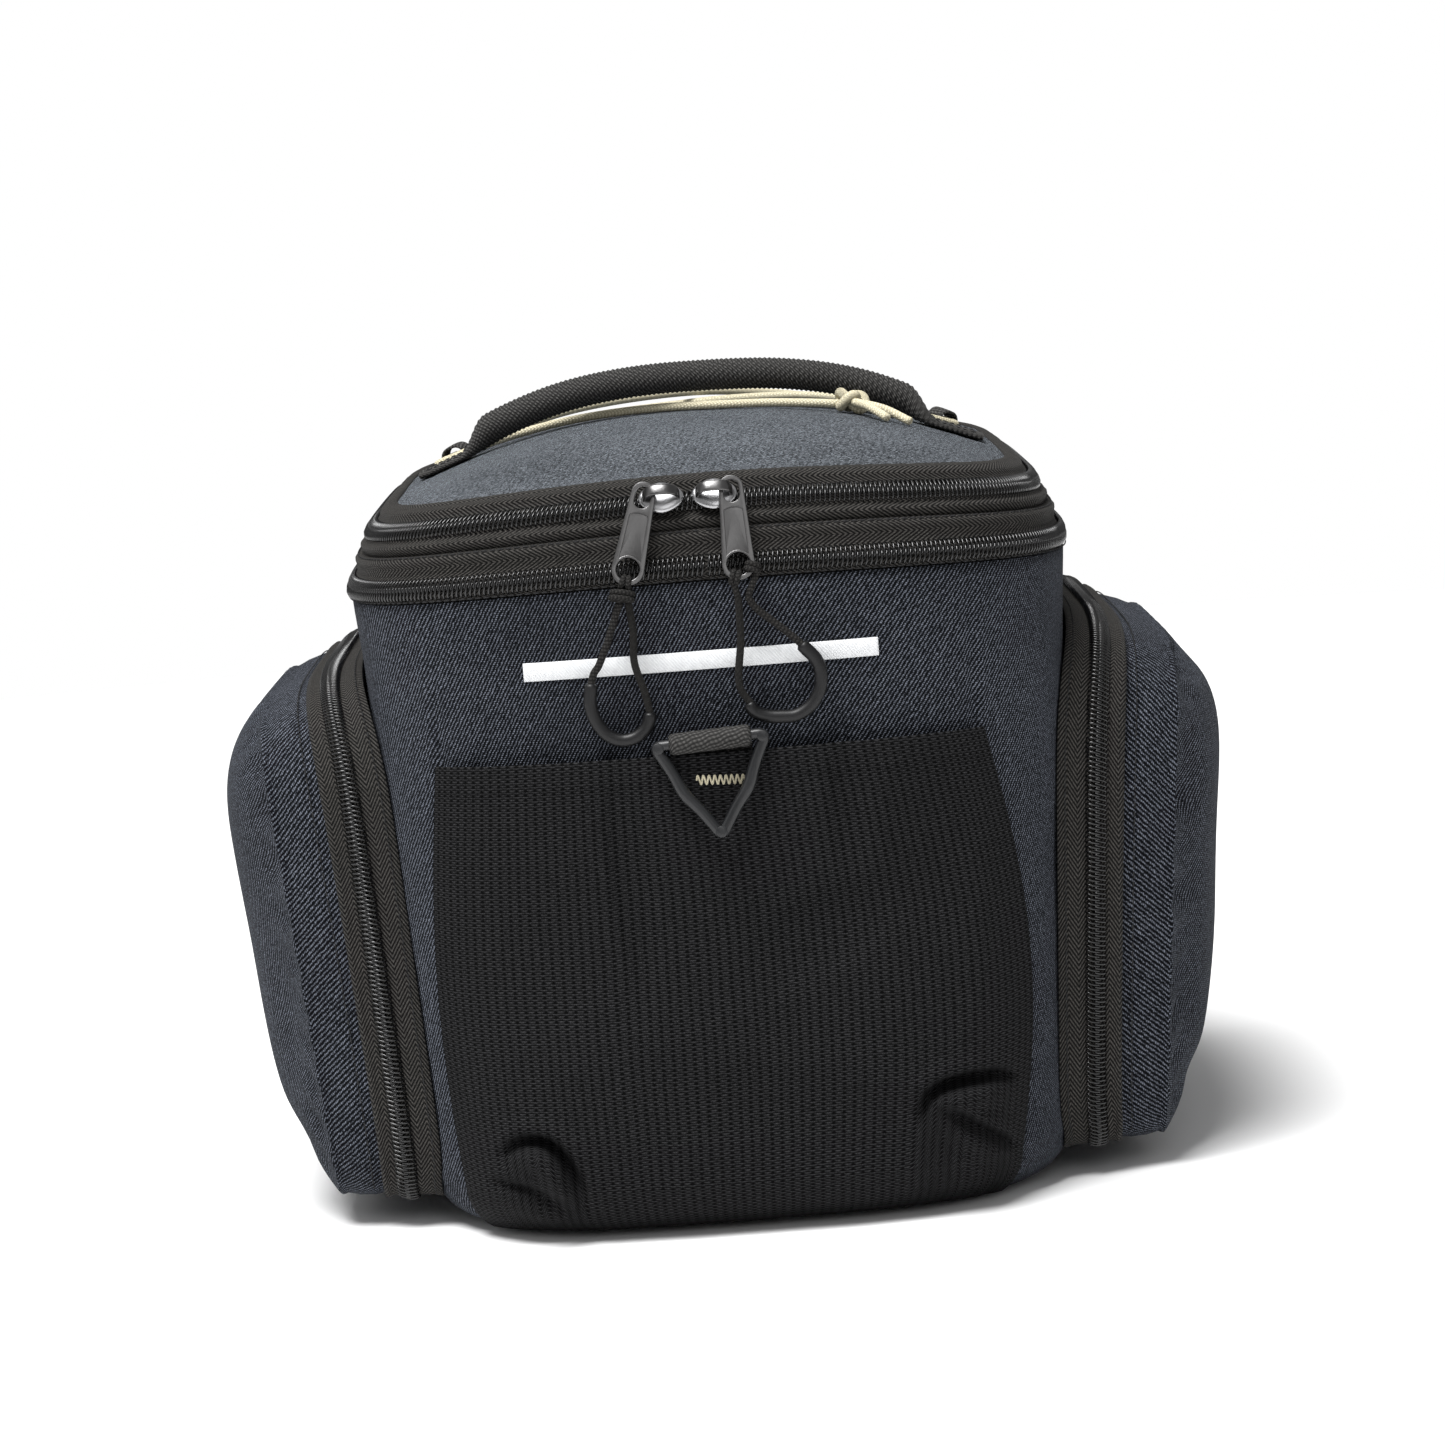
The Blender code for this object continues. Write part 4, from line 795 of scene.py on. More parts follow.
def side_pocket(name, side):
    """Gusset and crowned panel of a side pocket, puckered along its outer seam."""
    seed = 20 if side < 0 else 30
    rows = []
    for depth in POCKET_DEPTHS:
        points = gusset_points(side, POCKET_ANGLES, depth, 0.0)
        sink = hollows(points, 0.0013 * depth, 0.03, seed)
        sink += 0.0011 * bell(depth, 0.93, 0.04) + 0.0007 * bell(depth, SIDE_TAPE_SHARE + 0.03, 0.02)
        outward = unit((points - [0.0, SHIFT, POCKET_MIDDLE]) * [0.0, 1.0, 1.0])
        rows.append(points - outward * sink[:, None])
    seam = gusset_points(side, POCKET_ANGLES, 1.0, 0.0)
    perimeter = np.linspace(0, 2 * math.pi, len(POCKET_ANGLES), endpoint=False)
    for size in np.concatenate([[0.992, 0.98, 0.965, 0.95], np.linspace(0.93, 0.01, 34)]):
        points = seam.copy()
        points[:, 1] = SHIFT + (seam[:, 1] - SHIFT) * size
        points[:, 2] = POCKET_CROWN_HEIGHT + (seam[:, 2] - POCKET_CROWN_HEIGHT) * size
        rise = POCKET_CROWN * (1 - size ** POCKET_CROWN_POWER)
        sink = 0.0012 * (1 + soft_noise(points, 0.045, seed + 1)) * (1 - size ** 6)
        ripple = 1 + np.sin(perimeter * 46 + 2.5 * np.sin(perimeter * 5))
        pucker = 0.0011 * bell(size, 0.93, 0.05) * ripple
        for along, height, reach_along, reach_up, depth in PANEL_FOLDS[name]:
            fold = bell(points[:, 1] - SHIFT, along, reach_along) * bell(points[:, 2], height, reach_up)
            sink = sink + depth * fold * min(1.0, (1 - size) / 0.05)
        points[:, 0] = side * (seam_reach(points[:, 2]) + np.maximum(rise - sink - pucker, -0.004))
        rows.append(points)
    weave = (len(POCKET_DEPTHS) - 1, (0.0, side, 0.0), (0.0, 0.0, 1.0))
    return grid(f"pocket_cover_{name}", rows, "twill", ("side_pocket_" + name,),
                closed=True, thickness=0.0016, shut_row=-1, flat=weave)


def side_zip(name, side):
    """Arched tape with teeth on the pocket's gusset."""
    angles = ZIP_ANGLES[(ZIP_ANGLES >= ZIP_FIRST_ANGLE) & (ZIP_ANGLES <= math.pi - ZIP_FIRST_ANGLE)]
    rows = []
    for share in np.linspace(0.0, 1.0, 16):
        proud = 2 * GAP + TAPE_THICKNESS / 2 + 0.0008 * (bell(share, 0.03, 0.05) + bell(share, 0.95, 0.05))
        rows.append(gusset_points(side, angles, SIDE_TAPE_SHARE * share, proud))
    grid(f"side_zip_tape_{name}", rows, "zip_tape", ("side_tape_" + name,), thickness=0.0009)
    middle = gusset_points(side, angles, SIDE_COIL_SHARE, TAPE_THICKNESS)
    across = unit(gusset_points(side, angles, SIDE_COIL_SHARE + 0.05, TAPE_THICKNESS) - middle)
    out = gusset_points(side, angles, SIDE_COIL_SHARE, TAPE_THICKNESS + 0.001) - middle
    out = unit(out - across * (out * across).sum(axis=1)[:, None])
    coil_teeth(f"side_zip_teeth_{name}", middle, across, out, ("side_coil_" + name,))
    for stitches, share, proud, lift in (("gusset", SIDE_TAPE_SHARE + 0.09, 0.0002, 0.0),
                                         ("tape", 0.06, TAPE_THICKNESS + 0.0008, 0.0002)):
        line = gusset_points(side, angles, share, proud)
        thread_line(f"{stitches}_stitches_{name}", line, across, out, lift, pitch=0.0030)


# Mesh pocket: share of the drop from hem to edge, and share of the belly there
MESH_ROWS = ((0.0, 0.0), (0.2, 0.06), (0.4, 0.25), (0.6, 0.62), (0.78, 0.95), (0.9, 1.0), (1.0, 0.8))
MESH_HEM_HEIGHT = 0.162
MESH_LEFT = -0.095
MESH_RIGHT = 0.087
MESH_LEFT_FLARE = 0.006
MESH_RIGHT_FLARE = 0.011
MESH_THICKNESS = 0.0011
MESH_HEM_OPENING = 0.0048
MESH_BELLY = 0.0090
MESH_EDGE_STANDOFF = 0.0006
MESH_TUCK_ANGLE = 34.0
# Soft folds of the mesh: across, height, radius across, radius up, turn in degrees, rise out of the cloth
MESH_FOLDS = (
    (-0.070, 0.027, 0.012, 0.0080, -35, 0.0030), (0.078, 0.033, 0.014, 0.0080, -35, 0.0028),
    (0.030, 0.100, 0.030, 0.012, 25, -0.0022), (0.066, 0.128, 0.014, 0.028, 0, -0.0028),
    (-0.033, 0.120, 0.006, 0.035, 4, -0.0026), (0.040, 0.142, 0.006, 0.022, 0, -0.0022),
    (-0.070, 0.095, 0.020, 0.030, 10, -0.0018), (0.020, 0.040, 0.040, 0.014, -12, -0.0020),
    (0.080, 0.085, 0.006, 0.030, -6, 0.0014), (-0.015, 0.070, 0.050, 0.020, 15, 0.0012),
)
# Gathers at its bottom corners: places along each crease, then depth, half width and lip below it
MESH_CREASES = (
    (((-0.082, 0.032), (-0.076, 0.036), (-0.068, 0.0355), (-0.062, 0.029), (-0.057, 0.017)),
     0.0085, 0.0021, 0.0042),
    (((-0.086, 0.022), (-0.074, 0.019), (-0.062, 0.014)), 0.0035, 0.0018, 0.0020),
    (((0.057, 0.037), (0.060, 0.0425), (0.067, 0.0455), (0.080, 0.046), (0.088, 0.044)),
     0.0085, 0.0021, 0.0042),
    (((0.064, 0.0385), (0.073, 0.031), (0.082, 0.024), (0.091, 0.017)), 0.0045, 0.0016, 0.0032),
)


def crease_rise(points, stops, depth, width, lip):
    """Rise of the cloth beside a crease: a narrow slot with a full lip on its lower side."""
    line = smooth_through([(x, z, 0.0) for x, z in stops], 40)[:, :2]
    ways = unit(np.gradient(line, axis=0))
    gap = points[:, None, :] - line[None]
    near = np.argmin((gap ** 2).sum(axis=2), axis=1)
    offset = gap[np.arange(len(points)), near]
    away = np.linalg.norm(offset, axis=1)
    side = np.sign(offset[:, 1] * ways[near, 0] - offset[:, 0] * ways[near, 1])
    fade = np.sin(math.pi * (near + 1) / (len(line) + 1)) ** 0.6
    lower_lip = lip * bell(away, 2.6 * width, 2.0 * width)
    upper_lip = 0.35 * lip * bell(away, 2.4 * width, 1.4 * width)
    return fade * (np.where(side < 0, lower_lip, upper_lip) - depth * bell(away, 0.0, width))


def mesh_place(share, height, tuck, standoff):
    """Point at a standoff from the rear wall, or from its rounded edge where tuck is an angle."""
    flare = math.sin(math.pi * (MESH_HEM_HEIGHT - height) / MESH_HEM_HEIGHT)
    narrowing = 0.0 if tuck is None else EDGE_RADIUS * (1 - math.sin(tuck))
    left = MESH_LEFT - MESH_LEFT_FLARE * flare + narrowing
    right = MESH_RIGHT + MESH_RIGHT_FLARE * flare - narrowing
    across = left + (right - left) * share
    standoff = np.broadcast_to(standoff, across.shape)
    if tuck is None:
        along = rear_face(across, wall_inset(height) - standoff)
        return np.stack([across, along, np.full_like(across, height)], axis=-1)
    radius = EDGE_RADIUS + standoff
    along = rear_face(across, BASE_INSET + EDGE_RADIUS - radius * math.sin(tuck))
    return np.stack([across, along, EDGE_RADIUS - radius * math.cos(tuck)], axis=-1)


def mesh_pocket():
    """Slack mesh pocket: folded hem, full low down, gathered at both bottom corners."""
    shares = np.linspace(0, 1, 180)
    drops, bellies = np.transpose(MESH_ROWS)
    places = []
    for height in np.linspace(MESH_HEM_HEIGHT, EDGE_RADIUS, 150):
        drop = (MESH_HEM_HEIGHT - height) / (MESH_HEM_HEIGHT - EDGE_RADIUS)
        places.append((height, None, float(np.interp(drop, drops, bellies)), 1.0))
    for turn in np.linspace(90, MESH_TUCK_ANGLE, 16)[1:]:
        slack = (turn - MESH_TUCK_ANGLE) / (90 - MESH_TUCK_ANGLE)
        places.append((EDGE_RADIUS, math.radians(turn), 0.8 * slack, slack))
    fullness = 1 - (2 * shares - 1) ** 4
    rows = []
    for height, tuck, belly, opening in places:
        slack = fullness * (MESH_HEM_OPENING * opening + MESH_BELLY * belly)
        standoff = MESH_EDGE_STANDOFF + MESH_THICKNESS + slack
        at = mesh_place(shares, height, tuck, 0.0)
        fold = 0.0006 * soft_noise(at, 0.020, 41) + 0.0010 * soft_noise(at, 0.05, 42)
        for across, up, reach, rise_reach, turn, rise in MESH_FOLDS:
            c, s = math.cos(math.radians(turn)), math.sin(math.radians(turn))
            du, dv = at[:, 0] - across, at[:, 2] - up
            long, wide = (c * du + s * dv) / reach, (-s * du + c * dv) / rise_reach
            ridge, hollow = np.exp(-long ** 2 - np.abs(wide) * 1.3), np.exp(-(long ** 2 + wide ** 2) ** 2)
            fold += rise * (ridge if rise > 0 else hollow)
        for crease in MESH_CREASES:
            fold += crease_rise(at[:, [0, 2]], *crease)
        fold *= np.clip(np.minimum(shares, 1 - shares) / 0.04, 0, 1) * min(1.0, opening * 1.5)
        fold = np.maximum(fold, MESH_EDGE_STANDOFF + 0.0006 - standoff)
        hem = 0.0004 if height > MESH_HEM_HEIGHT - 0.009 and tuck is None else 0.0
        rows.append(mesh_place(shares, height, tuck, standoff + fold + hem))
    return grid("mesh_pocket_cloth", rows, "mesh_fabric", ("mesh_pocket",), thickness=0.0008)


for pocket_name, pocket_side in (("left", -1), ("right", 1)):
    side_pocket(pocket_name, pocket_side)
    side_zip(pocket_name, pocket_side)
mesh_pocket()


def frame_matrix(x_way, y_way, z_way, place):
    matrix = Matrix((Vector(x_way), Vector(y_way), Vector(z_way))).transposed().to_4x4()
    matrix.translation = Vector(place)
    return matrix


def placed(matrix, points):
    """Local points brought into the bag's frame."""
    array = np.array(matrix)
    return np.asarray(points) @ array[:3, :3].T + array[:3, 3]


def sharp_piece(name, mesh):
    """Object of a mesh that is smooth but for its edges past 50 degrees."""
    mesh.shade_smooth()
    mesh.set_sharp_from_angle(angle=math.radians(50.0))
    return linked(name, mesh)


def flat_solid(name, outlines, thickness, bevel, matrix):
    """Plate with holes and softly rounded edges, as a mesh in place."""
    curve = bpy.data.curves.new(name, "CURVE")
    curve.dimensions = "2D"
    curve.fill_mode = "BOTH"
    curve.extrude = thickness / 2 - bevel
    curve.bevel_depth = bevel
    curve.bevel_resolution = 2
    curve.offset = -bevel
    for outline in outlines:
        spline = curve.splines.new("POLY")
        spline.points.add(len(outline) - 1)
        for point, (across, up) in zip(spline.points, outline):
            point.co = (across, up, 0.0, 1.0)
        spline.use_cyclic_u = True
    item = linked(name + "_outline", curve)
    bpy.context.view_layer.update()
    mesh = bpy.data.meshes.new_from_object(item.evaluated_get(bpy.context.evaluated_depsgraph_get()))
    bpy.data.objects.remove(item, do_unlink=True)
    mesh.transform(matrix)
    mend(mesh, WELD_DISTANCE)
    return sharp_piece(name, mesh)


def joined(name, items):
    """One piece from several."""
    shape = bmesh.new()
    for item in items:
        shape.from_mesh(item.data)
        bpy.data.objects.remove(item, do_unlink=True)
    mesh = bpy.data.meshes.new(name)
    shape.to_mesh(mesh)
    shape.free()
    return sharp_piece(name, mesh)


# Sliders and pull tabs, as in the solids
LEFT_SLIDER_X = -0.0134
RIGHT_SLIDER_X = 0.0040
SLIDER_THICKNESS = 0.0022
BAIL_SPAN = 0.0112
BAIL_RISE = 0.0044
PULL_DROP = 0.0021
PULL_TOP_RADIUS = 0.0040
PULL_BOTTOM_RADIUS = 0.0054
PULL_SLOT_RADIUS = 0.0026
PULL_SLOT_DROP = 0.0025
PULL_HOLE_RADIUS = 0.0039
PULL_HOLE_DROP = 0.0258
PULL_LEAN = math.radians(17.0)
LEFT_PULL_SWING = math.radians(-15.5)
RIGHT_PULL_SWING = math.radians(1.3)


def slider_frame(across):
    """Matrix on the upper teeth at the rear: X across, Y up the band, Z out of it."""
    run = SEAM_LINE[0] - LID_LINE[0]
    rise = LID_LINE[1] + LID_LINE[2] - SEAM_LINE[1] - SEAM_LINE[2]
    up = Vector((0.0, -run, rise)).normalized()
    out = Vector((1.0, 0.0, 0.0)).cross(up)
    place = band_points(np.array([-math.pi / 2]), UPPER_COIL_SHARE, SEAM_LINE, LID_LINE, 0.0024 + 2 * GAP)[0]
    return frame_matrix((1.0, 0.0, 0.0), up, out, (across, place[1], place[2]))


def pull_frame(slider_x, outward, swing):
    level = SLIDER_THICKNESS + BAIL_RISE - PULL_DROP
    pivot = slider_frame(slider_x) @ Vector((outward * BAIL_SPAN / 2, 0.0, level))
    lean = Matrix.Rotation(math.pi / 2 - PULL_LEAN, 4, "X")
    return Matrix.Translation(pivot) @ lean @ Matrix.Rotation(swing, 4, "Z")


# Rings of a slider's plate: share of its width, of its length and of its thickness
SLIDER_RINGS = ((0.93, 0.93, 0.0), (1.0, 1.0, 0.16), (1.0, 1.0, 0.48), (0.97, 0.96, 0.66),
                (0.88, 0.84, 0.84), (0.66, 0.60, 0.97), (0.35, 0.30, 1.0), (0.05, 0.05, 1.0))
SLIDER_HALF_WIDTH = 0.0075
SLIDER_HALF_LENGTH = 0.0056


def slider(side, across):
    """Domed slider with pointed ends, side flanges and a broad bail arched over it."""
    matrix = slider_frame(across)
    angles = np.linspace(0, 2 * math.pi, 40, endpoint=False)
    rows = []
    for wide, high, level in SLIDER_RINGS:
        x, y = power_curve(angles, SLIDER_HALF_WIDTH * wide, SLIDER_HALF_LENGTH * high, 1.65, 1.9)
        rows.append(placed(matrix, np.stack([x, y, np.full_like(x, SLIDER_THICKNESS * level)], axis=1)))
    grid(f"slider_plate_{side}", rows, "slider_metal", ("slider_" + side,), closed=True, capped=True)
    turns = np.linspace(0.0, math.pi, 26)
    x, z = power_curve(turns, BAIL_SPAN / 2, 0.0056, 2.8, 2.4)
    line = np.stack([x, np.zeros_like(x), z + 0.0012], axis=1)
    line[0, 2] = line[-1, 2] = 0.0010
    out = np.cross(unit(np.gradient(line, axis=0)), [0.0, 1.0, 0.0])
    around = np.linspace(0, 2 * math.pi, 16, endpoint=False)
    wide, thick = power_curve(around, 0.0017, 0.00062, 4.0, 3.0)
    rows = []
    for point, way, turn in zip(line, out, turns):
        swell = 1.0 + 0.12 * math.sin(turn)
        rows.append(placed(matrix, point + np.outer(wide * swell, [0, 1, 0]) + np.outer(thick, way)))
    grid(f"slider_bail_{side}", rows, "pull_metal", closed=True, capped=True)


def round_outline(radius, centre=(0.0, 0.0), count=36, start=0.0, end=2 * math.pi):
    closed = abs(end - start - 2 * math.pi) < 1e-6
    angles = np.linspace(start, end, count, endpoint=not closed)
    return [(centre[0] + radius * math.cos(a), centre[1] + radius * math.sin(a)) for a in angles]


def capsule(top_radius, bottom_radius, drop, count=20):
    slant = math.asin((bottom_radius - top_radius) / drop)
    points = round_outline(top_radius, (0, 0), count, -slant, math.pi + slant)
    return points + round_outline(bottom_radius, (0, -drop), count, math.pi + slant, 2 * math.pi - slant)


def pull_tab(side, matrix):
    """Tab with a raised rim, a sunk panel with an arched top, a slot and a round hole."""
    outer = capsule(PULL_TOP_RADIUS, PULL_BOTTOM_RADIUS, PULL_HOLE_DROP)
    slot = capsule(PULL_SLOT_RADIUS, PULL_SLOT_RADIUS, PULL_SLOT_DROP)
    hole = round_outline(PULL_HOLE_RADIUS, (0, -PULL_HOLE_DROP))
    top = [(0.0030 * math.cos(a), -0.0079 + 0.0012 * math.sin(a)) for a in np.linspace(0, math.pi, 12)]
    low = round_outline(0.0047, (0, -PULL_HOLE_DROP), 10, math.radians(139), math.radians(41))
    rim = flat_solid("rim", [outer, slot, hole, top + low], 0.0015, 0.00022, matrix)
    plate, notch = capsule(0.0036, 0.0050, PULL_HOLE_DROP), capsule(0.0029, 0.0029, PULL_SLOT_DROP)
    bore = round_outline(0.0043, (0, -PULL_HOLE_DROP))
    bed = flat_solid("bed", [plate, notch, bore], 0.0008, 0.0001, matrix)
    dress(joined(f"pull_tab_{side}", [rim, bed]), "pull_metal", side + "_pull", ("pull_" + side,))


# Chosen points of the cord loops, the same as in the solids before they were centred
LEFT_OUTER = [(-0.0296, -0.1783, 0.2134), (-0.0335, -0.1773, 0.2030), (-0.0377, -0.1765, 0.1936),
              (-0.0400, -0.1758, 0.1900), (-0.0408, -0.1756, 0.1874)]
LEFT_INNER = [(-0.0266, -0.1783, 0.2134), (-0.0258, -0.1773, 0.2030), (-0.0262, -0.1765, 0.1936),
              (-0.0238, -0.1758, 0.1842), (-0.0228, -0.1755, 0.1790), (-0.0225, -0.1754, 0.1765)]
LEFT_GRIP = [(-0.0409, -0.1756, 0.1869), (-0.0416, -0.1754, 0.1810), (-0.0404, -0.1752, 0.1755),
             (-0.0372, -0.1752, 0.1705), (-0.0326, -0.1752, 0.1682), (-0.0282, -0.1752, 0.1686),
             (-0.0245, -0.1752, 0.1710), (-0.0228, -0.1753, 0.1740), (-0.0225, -0.1754, 0.1760)]
RIGHT_INNER = [(0.0092, -0.1784, 0.2124), (0.0090, -0.1772, 0.1986), (0.0074, -0.1764, 0.1860),
               (0.0088, -0.1758, 0.1800), (0.0101, -0.1755, 0.1772)]
RIGHT_OUTER = [(0.0124, -0.1784, 0.2124), (0.0146, -0.1776, 0.2085), (0.0206, -0.1768, 0.2030),
               (0.0270, -0.1761, 0.1970), (0.0286, -0.1759, 0.1953)]
RIGHT_GRIP = [(0.0289, -0.1759, 0.1949), (0.0330, -0.1756, 0.1900), (0.0343, -0.1754, 0.1853),
              (0.0336, -0.1752, 0.1800), (0.0306, -0.1752, 0.1752), (0.0256, -0.1752, 0.1722),
              (0.0205, -0.1752, 0.1720), (0.0155, -0.1752, 0.1726), (0.0118, -0.1753, 0.1743),
              (0.0103, -0.1755, 0.1768)]
CORD_RADIUS = 0.00125
GRIP_RADIUS = 0.0022
HITCH_RADIUS = 0.0010


def cord_hitch(side, matrix, starts):
    """Cord lashed round the tab's lower rim, with its wraps and the start of both strands."""
    hole = np.array([0.0, -PULL_HOLE_DROP, 0.0])
    rim = (PULL_HOLE_RADIUS + PULL_BOTTOM_RADIUS) / 2
    left = side == "left"
    wraps = ((-0.0013, 262.0), (0.0013, 280.0)) if left else ((0.0, 250.0), (0.0, 340.0))
    around = np.linspace(0, 2 * math.pi, 18, endpoint=False)[:, None]
    outward = np.array([0.0, 0.0, 0.00185])
    parts = []
    for (shift, turn), start in zip(wraps, starts):
        heading = math.radians(turn)
        way = np.array([math.cos(heading), math.sin(heading), 0.0])
        cross = np.array([-math.sin(heading), math.cos(heading), 0.0])
        for step in (0.0,) if left else (-0.85, 0.85):
            centre = hole + way * rim + cross * (step * HITCH_RADIUS + shift * 0.2)
            ring = centre + way * 0.0019 * np.cos(around) + outward * np.sin(around)
            ring = placed(matrix, ring)
            parts.append(tube("turn", ring, HITCH_RADIUS, "black_cord", closed=True, sides=8))
        root = placed(matrix, hole + way * (rim + 0.0019))
        stops = [root, (root + start) / 2 + [0.0, -0.0004, 0.0], start]
        parts.append(tube("lead", smooth_through(stops, 10), HITCH_RADIUS * 1.1, "black_cord", sides=10))
    around = np.linspace(0, 2 * math.pi, 28, endpoint=False)
    for level, size in ((0.0011, 1.0), (-0.0008, 1.04)) if left else ():
        across, up = 0.0034 * size * np.cos(around), level + 0.0003 * np.cos(around)
        ring = np.stack([across, up, 0.0019 * np.sin(around)], axis=1) + hole + [-0.0002, -rim - 0.0045, 0.0]
        parts.append(tube("wrap", placed(matrix, ring), HITCH_RADIUS, "black_cord", closed=True, sides=8))
    return dress(joined(f"hitch_wraps_{side}", parts), "black_cord", side + "_pull", ("cord_hitch_" + side,))


def cord_loop(side, outer, inner, grip, matrix):
    """One braided cord from the hitch down through its rubber grip and back up."""
    outer, inner, grip = ([np.array(p) + [0, SHIFT, 0] for p in points] for points in (outer, inner, grip))
    body = side + "_pull"
    hitch = cord_hitch(side, matrix, (outer[0], inner[0]) if side == "left" else (inner[0], outer[0]))
    radii = GRIP_RADIUS * (1 + 0.02 * np.sin(np.linspace(0, 9, 60)))
    radii[[0, 1, -2, -1]] *= 0.97
    sleeve = tube(f"grip_sleeve_{side}", smooth_through(grip, 60), radii, "grip_rubber",
                  ("cord_grip_" + side,), body, sides=20)
    line = smooth_through(outer[:-1] + grip[1:-1:2] + inner[-2::-1], 110)
    strands = (f"cord_outer_{side}", f"cord_inner_{side}")
    cord = tube(f"pull_cord_{side}", line, CORD_RADIUS, "black_cord", strands, body)


slider("left", LEFT_SLIDER_X)
slider("right", RIGHT_SLIDER_X)
left_tab = pull_frame(LEFT_SLIDER_X, -1, LEFT_PULL_SWING)
right_tab = pull_frame(RIGHT_SLIDER_X, 1, RIGHT_PULL_SWING)
pull_tab("left", left_tab)
pull_tab("right", right_tab)
cord_loop("left", LEFT_OUTER, LEFT_INNER, LEFT_GRIP, left_tab)
cord_loop("right", RIGHT_OUTER, RIGHT_INNER, RIGHT_GRIP, right_tab)


def caster(item):
    """Finds where lines meet a finished piece, its modifiers included."""
    return BVHTree.FromObject(item, bpy.context.evaluated_depsgraph_get())


def cast(tree, start, way):
    hit = tree.ray_cast(Vector(start), Vector(way))[0]
    return np.array(hit if hit else start)


def strap(name, path, wide_way, half_width, half_thick, look, nodes=(), ribs=0.0):
    """Flat webbing with rounded edges along a path, its width along one way."""
    wide_way = unit(wide_way)
    normals = unit(np.cross(unit(np.gradient(path, axis=0)), wide_way))
    around = even_angles(lambda a: power_curve(a, half_width, half_thick, 8.0, 3.0), 44)
    wide, thick = power_curve(around, half_width, half_thick, 8.0, 3.0)
    thick = thick * (1 + ribs * np.cos(2 * math.pi * wide / 0.0016))
    rows = [p + np.outer(wide, wide_way) + np.outer(thick, n) for p, n in zip(path, normals)]
    return grid(name, rows, look, nodes, closed=True, capped=True)


# Webbing loop and triangle ring, as in the solids
RING_X = -0.0035
RING_HEIGHT = 0.1665
RING_TILT = math.radians(3.0)
RING_HALF_WIDTH = 0.0186
RING_DROP = 0.0318
RING_CORNER_RADIUS = 0.0030
RING_BAR_RADIUS = 0.0019
RING_KINK = 0.0014
RING_LEAN = math.radians(6.0)
RING_PLAY = 0.0004
LOOP_WIDTH = 0.027
LOOP_THICKNESS = 0.0013
LOOP_LEG_LENGTH = 0.010


def ring_place():
    """Matrix at the middle of the ring's top bar, tilted with it."""
    hem_inset = wall_inset(MESH_HEM_HEIGHT) - MESH_EDGE_STANDOFF - MESH_HEM_OPENING - MESH_THICKNESS
    along = rear_face(RING_X, hem_inset) - RING_BAR_RADIUS - RING_PLAY
    return Matrix.Translation((RING_X, along, RING_HEIGHT)) @ Matrix.Rotation(-RING_TILT, 4, "Y")


def ring_loop(matrix):
    """Webbing folded round the ring's top bar, with both legs behind the hem."""
    middle = RING_BAR_RADIUS + RING_PLAY + LOOP_THICKNESS / 2
    near = RING_BAR_RADIUS + RING_PLAY + MESH_THICKNESS + GAP + LOOP_THICKNESS / 2
    far = near + LOOP_THICKNESS
    low = -middle - LOOP_LEG_LENGTH
    taper = 0.0006
    turns = np.radians(np.linspace(68, 282, 22))
    stops = [(far + taper, low), (far, -0.004), (far - 0.0004, 0.0006)]
    stops += [(middle * math.cos(a), middle * math.sin(a)) for a in turns]
    stops += [(near, -0.0038), (near + taper, low)]
    path = smooth_through([placed(matrix, (0.0, y, z)) for y, z in stops], 90)
    wide_way = np.array(matrix)[:3, 0]
    strap("ring_webbing", path, wide_way, LOOP_WIDTH / 2, 0.00060, "webbing", ("ring_loop",), ribs=0.12)


# Rings of a corner boss: share of its radius and of its half height
BOSS_RINGS = ((0.2, 1.0), (0.7, 1.0), (0.92, 0.9), (1.0, 0.6),
              (1.0, -0.6), (0.92, -0.9), (0.7, -1.0), (0.2, -1.0))
BOSS_RADIUS = 0.0020
BOSS_HALF_HEIGHT = 0.0021


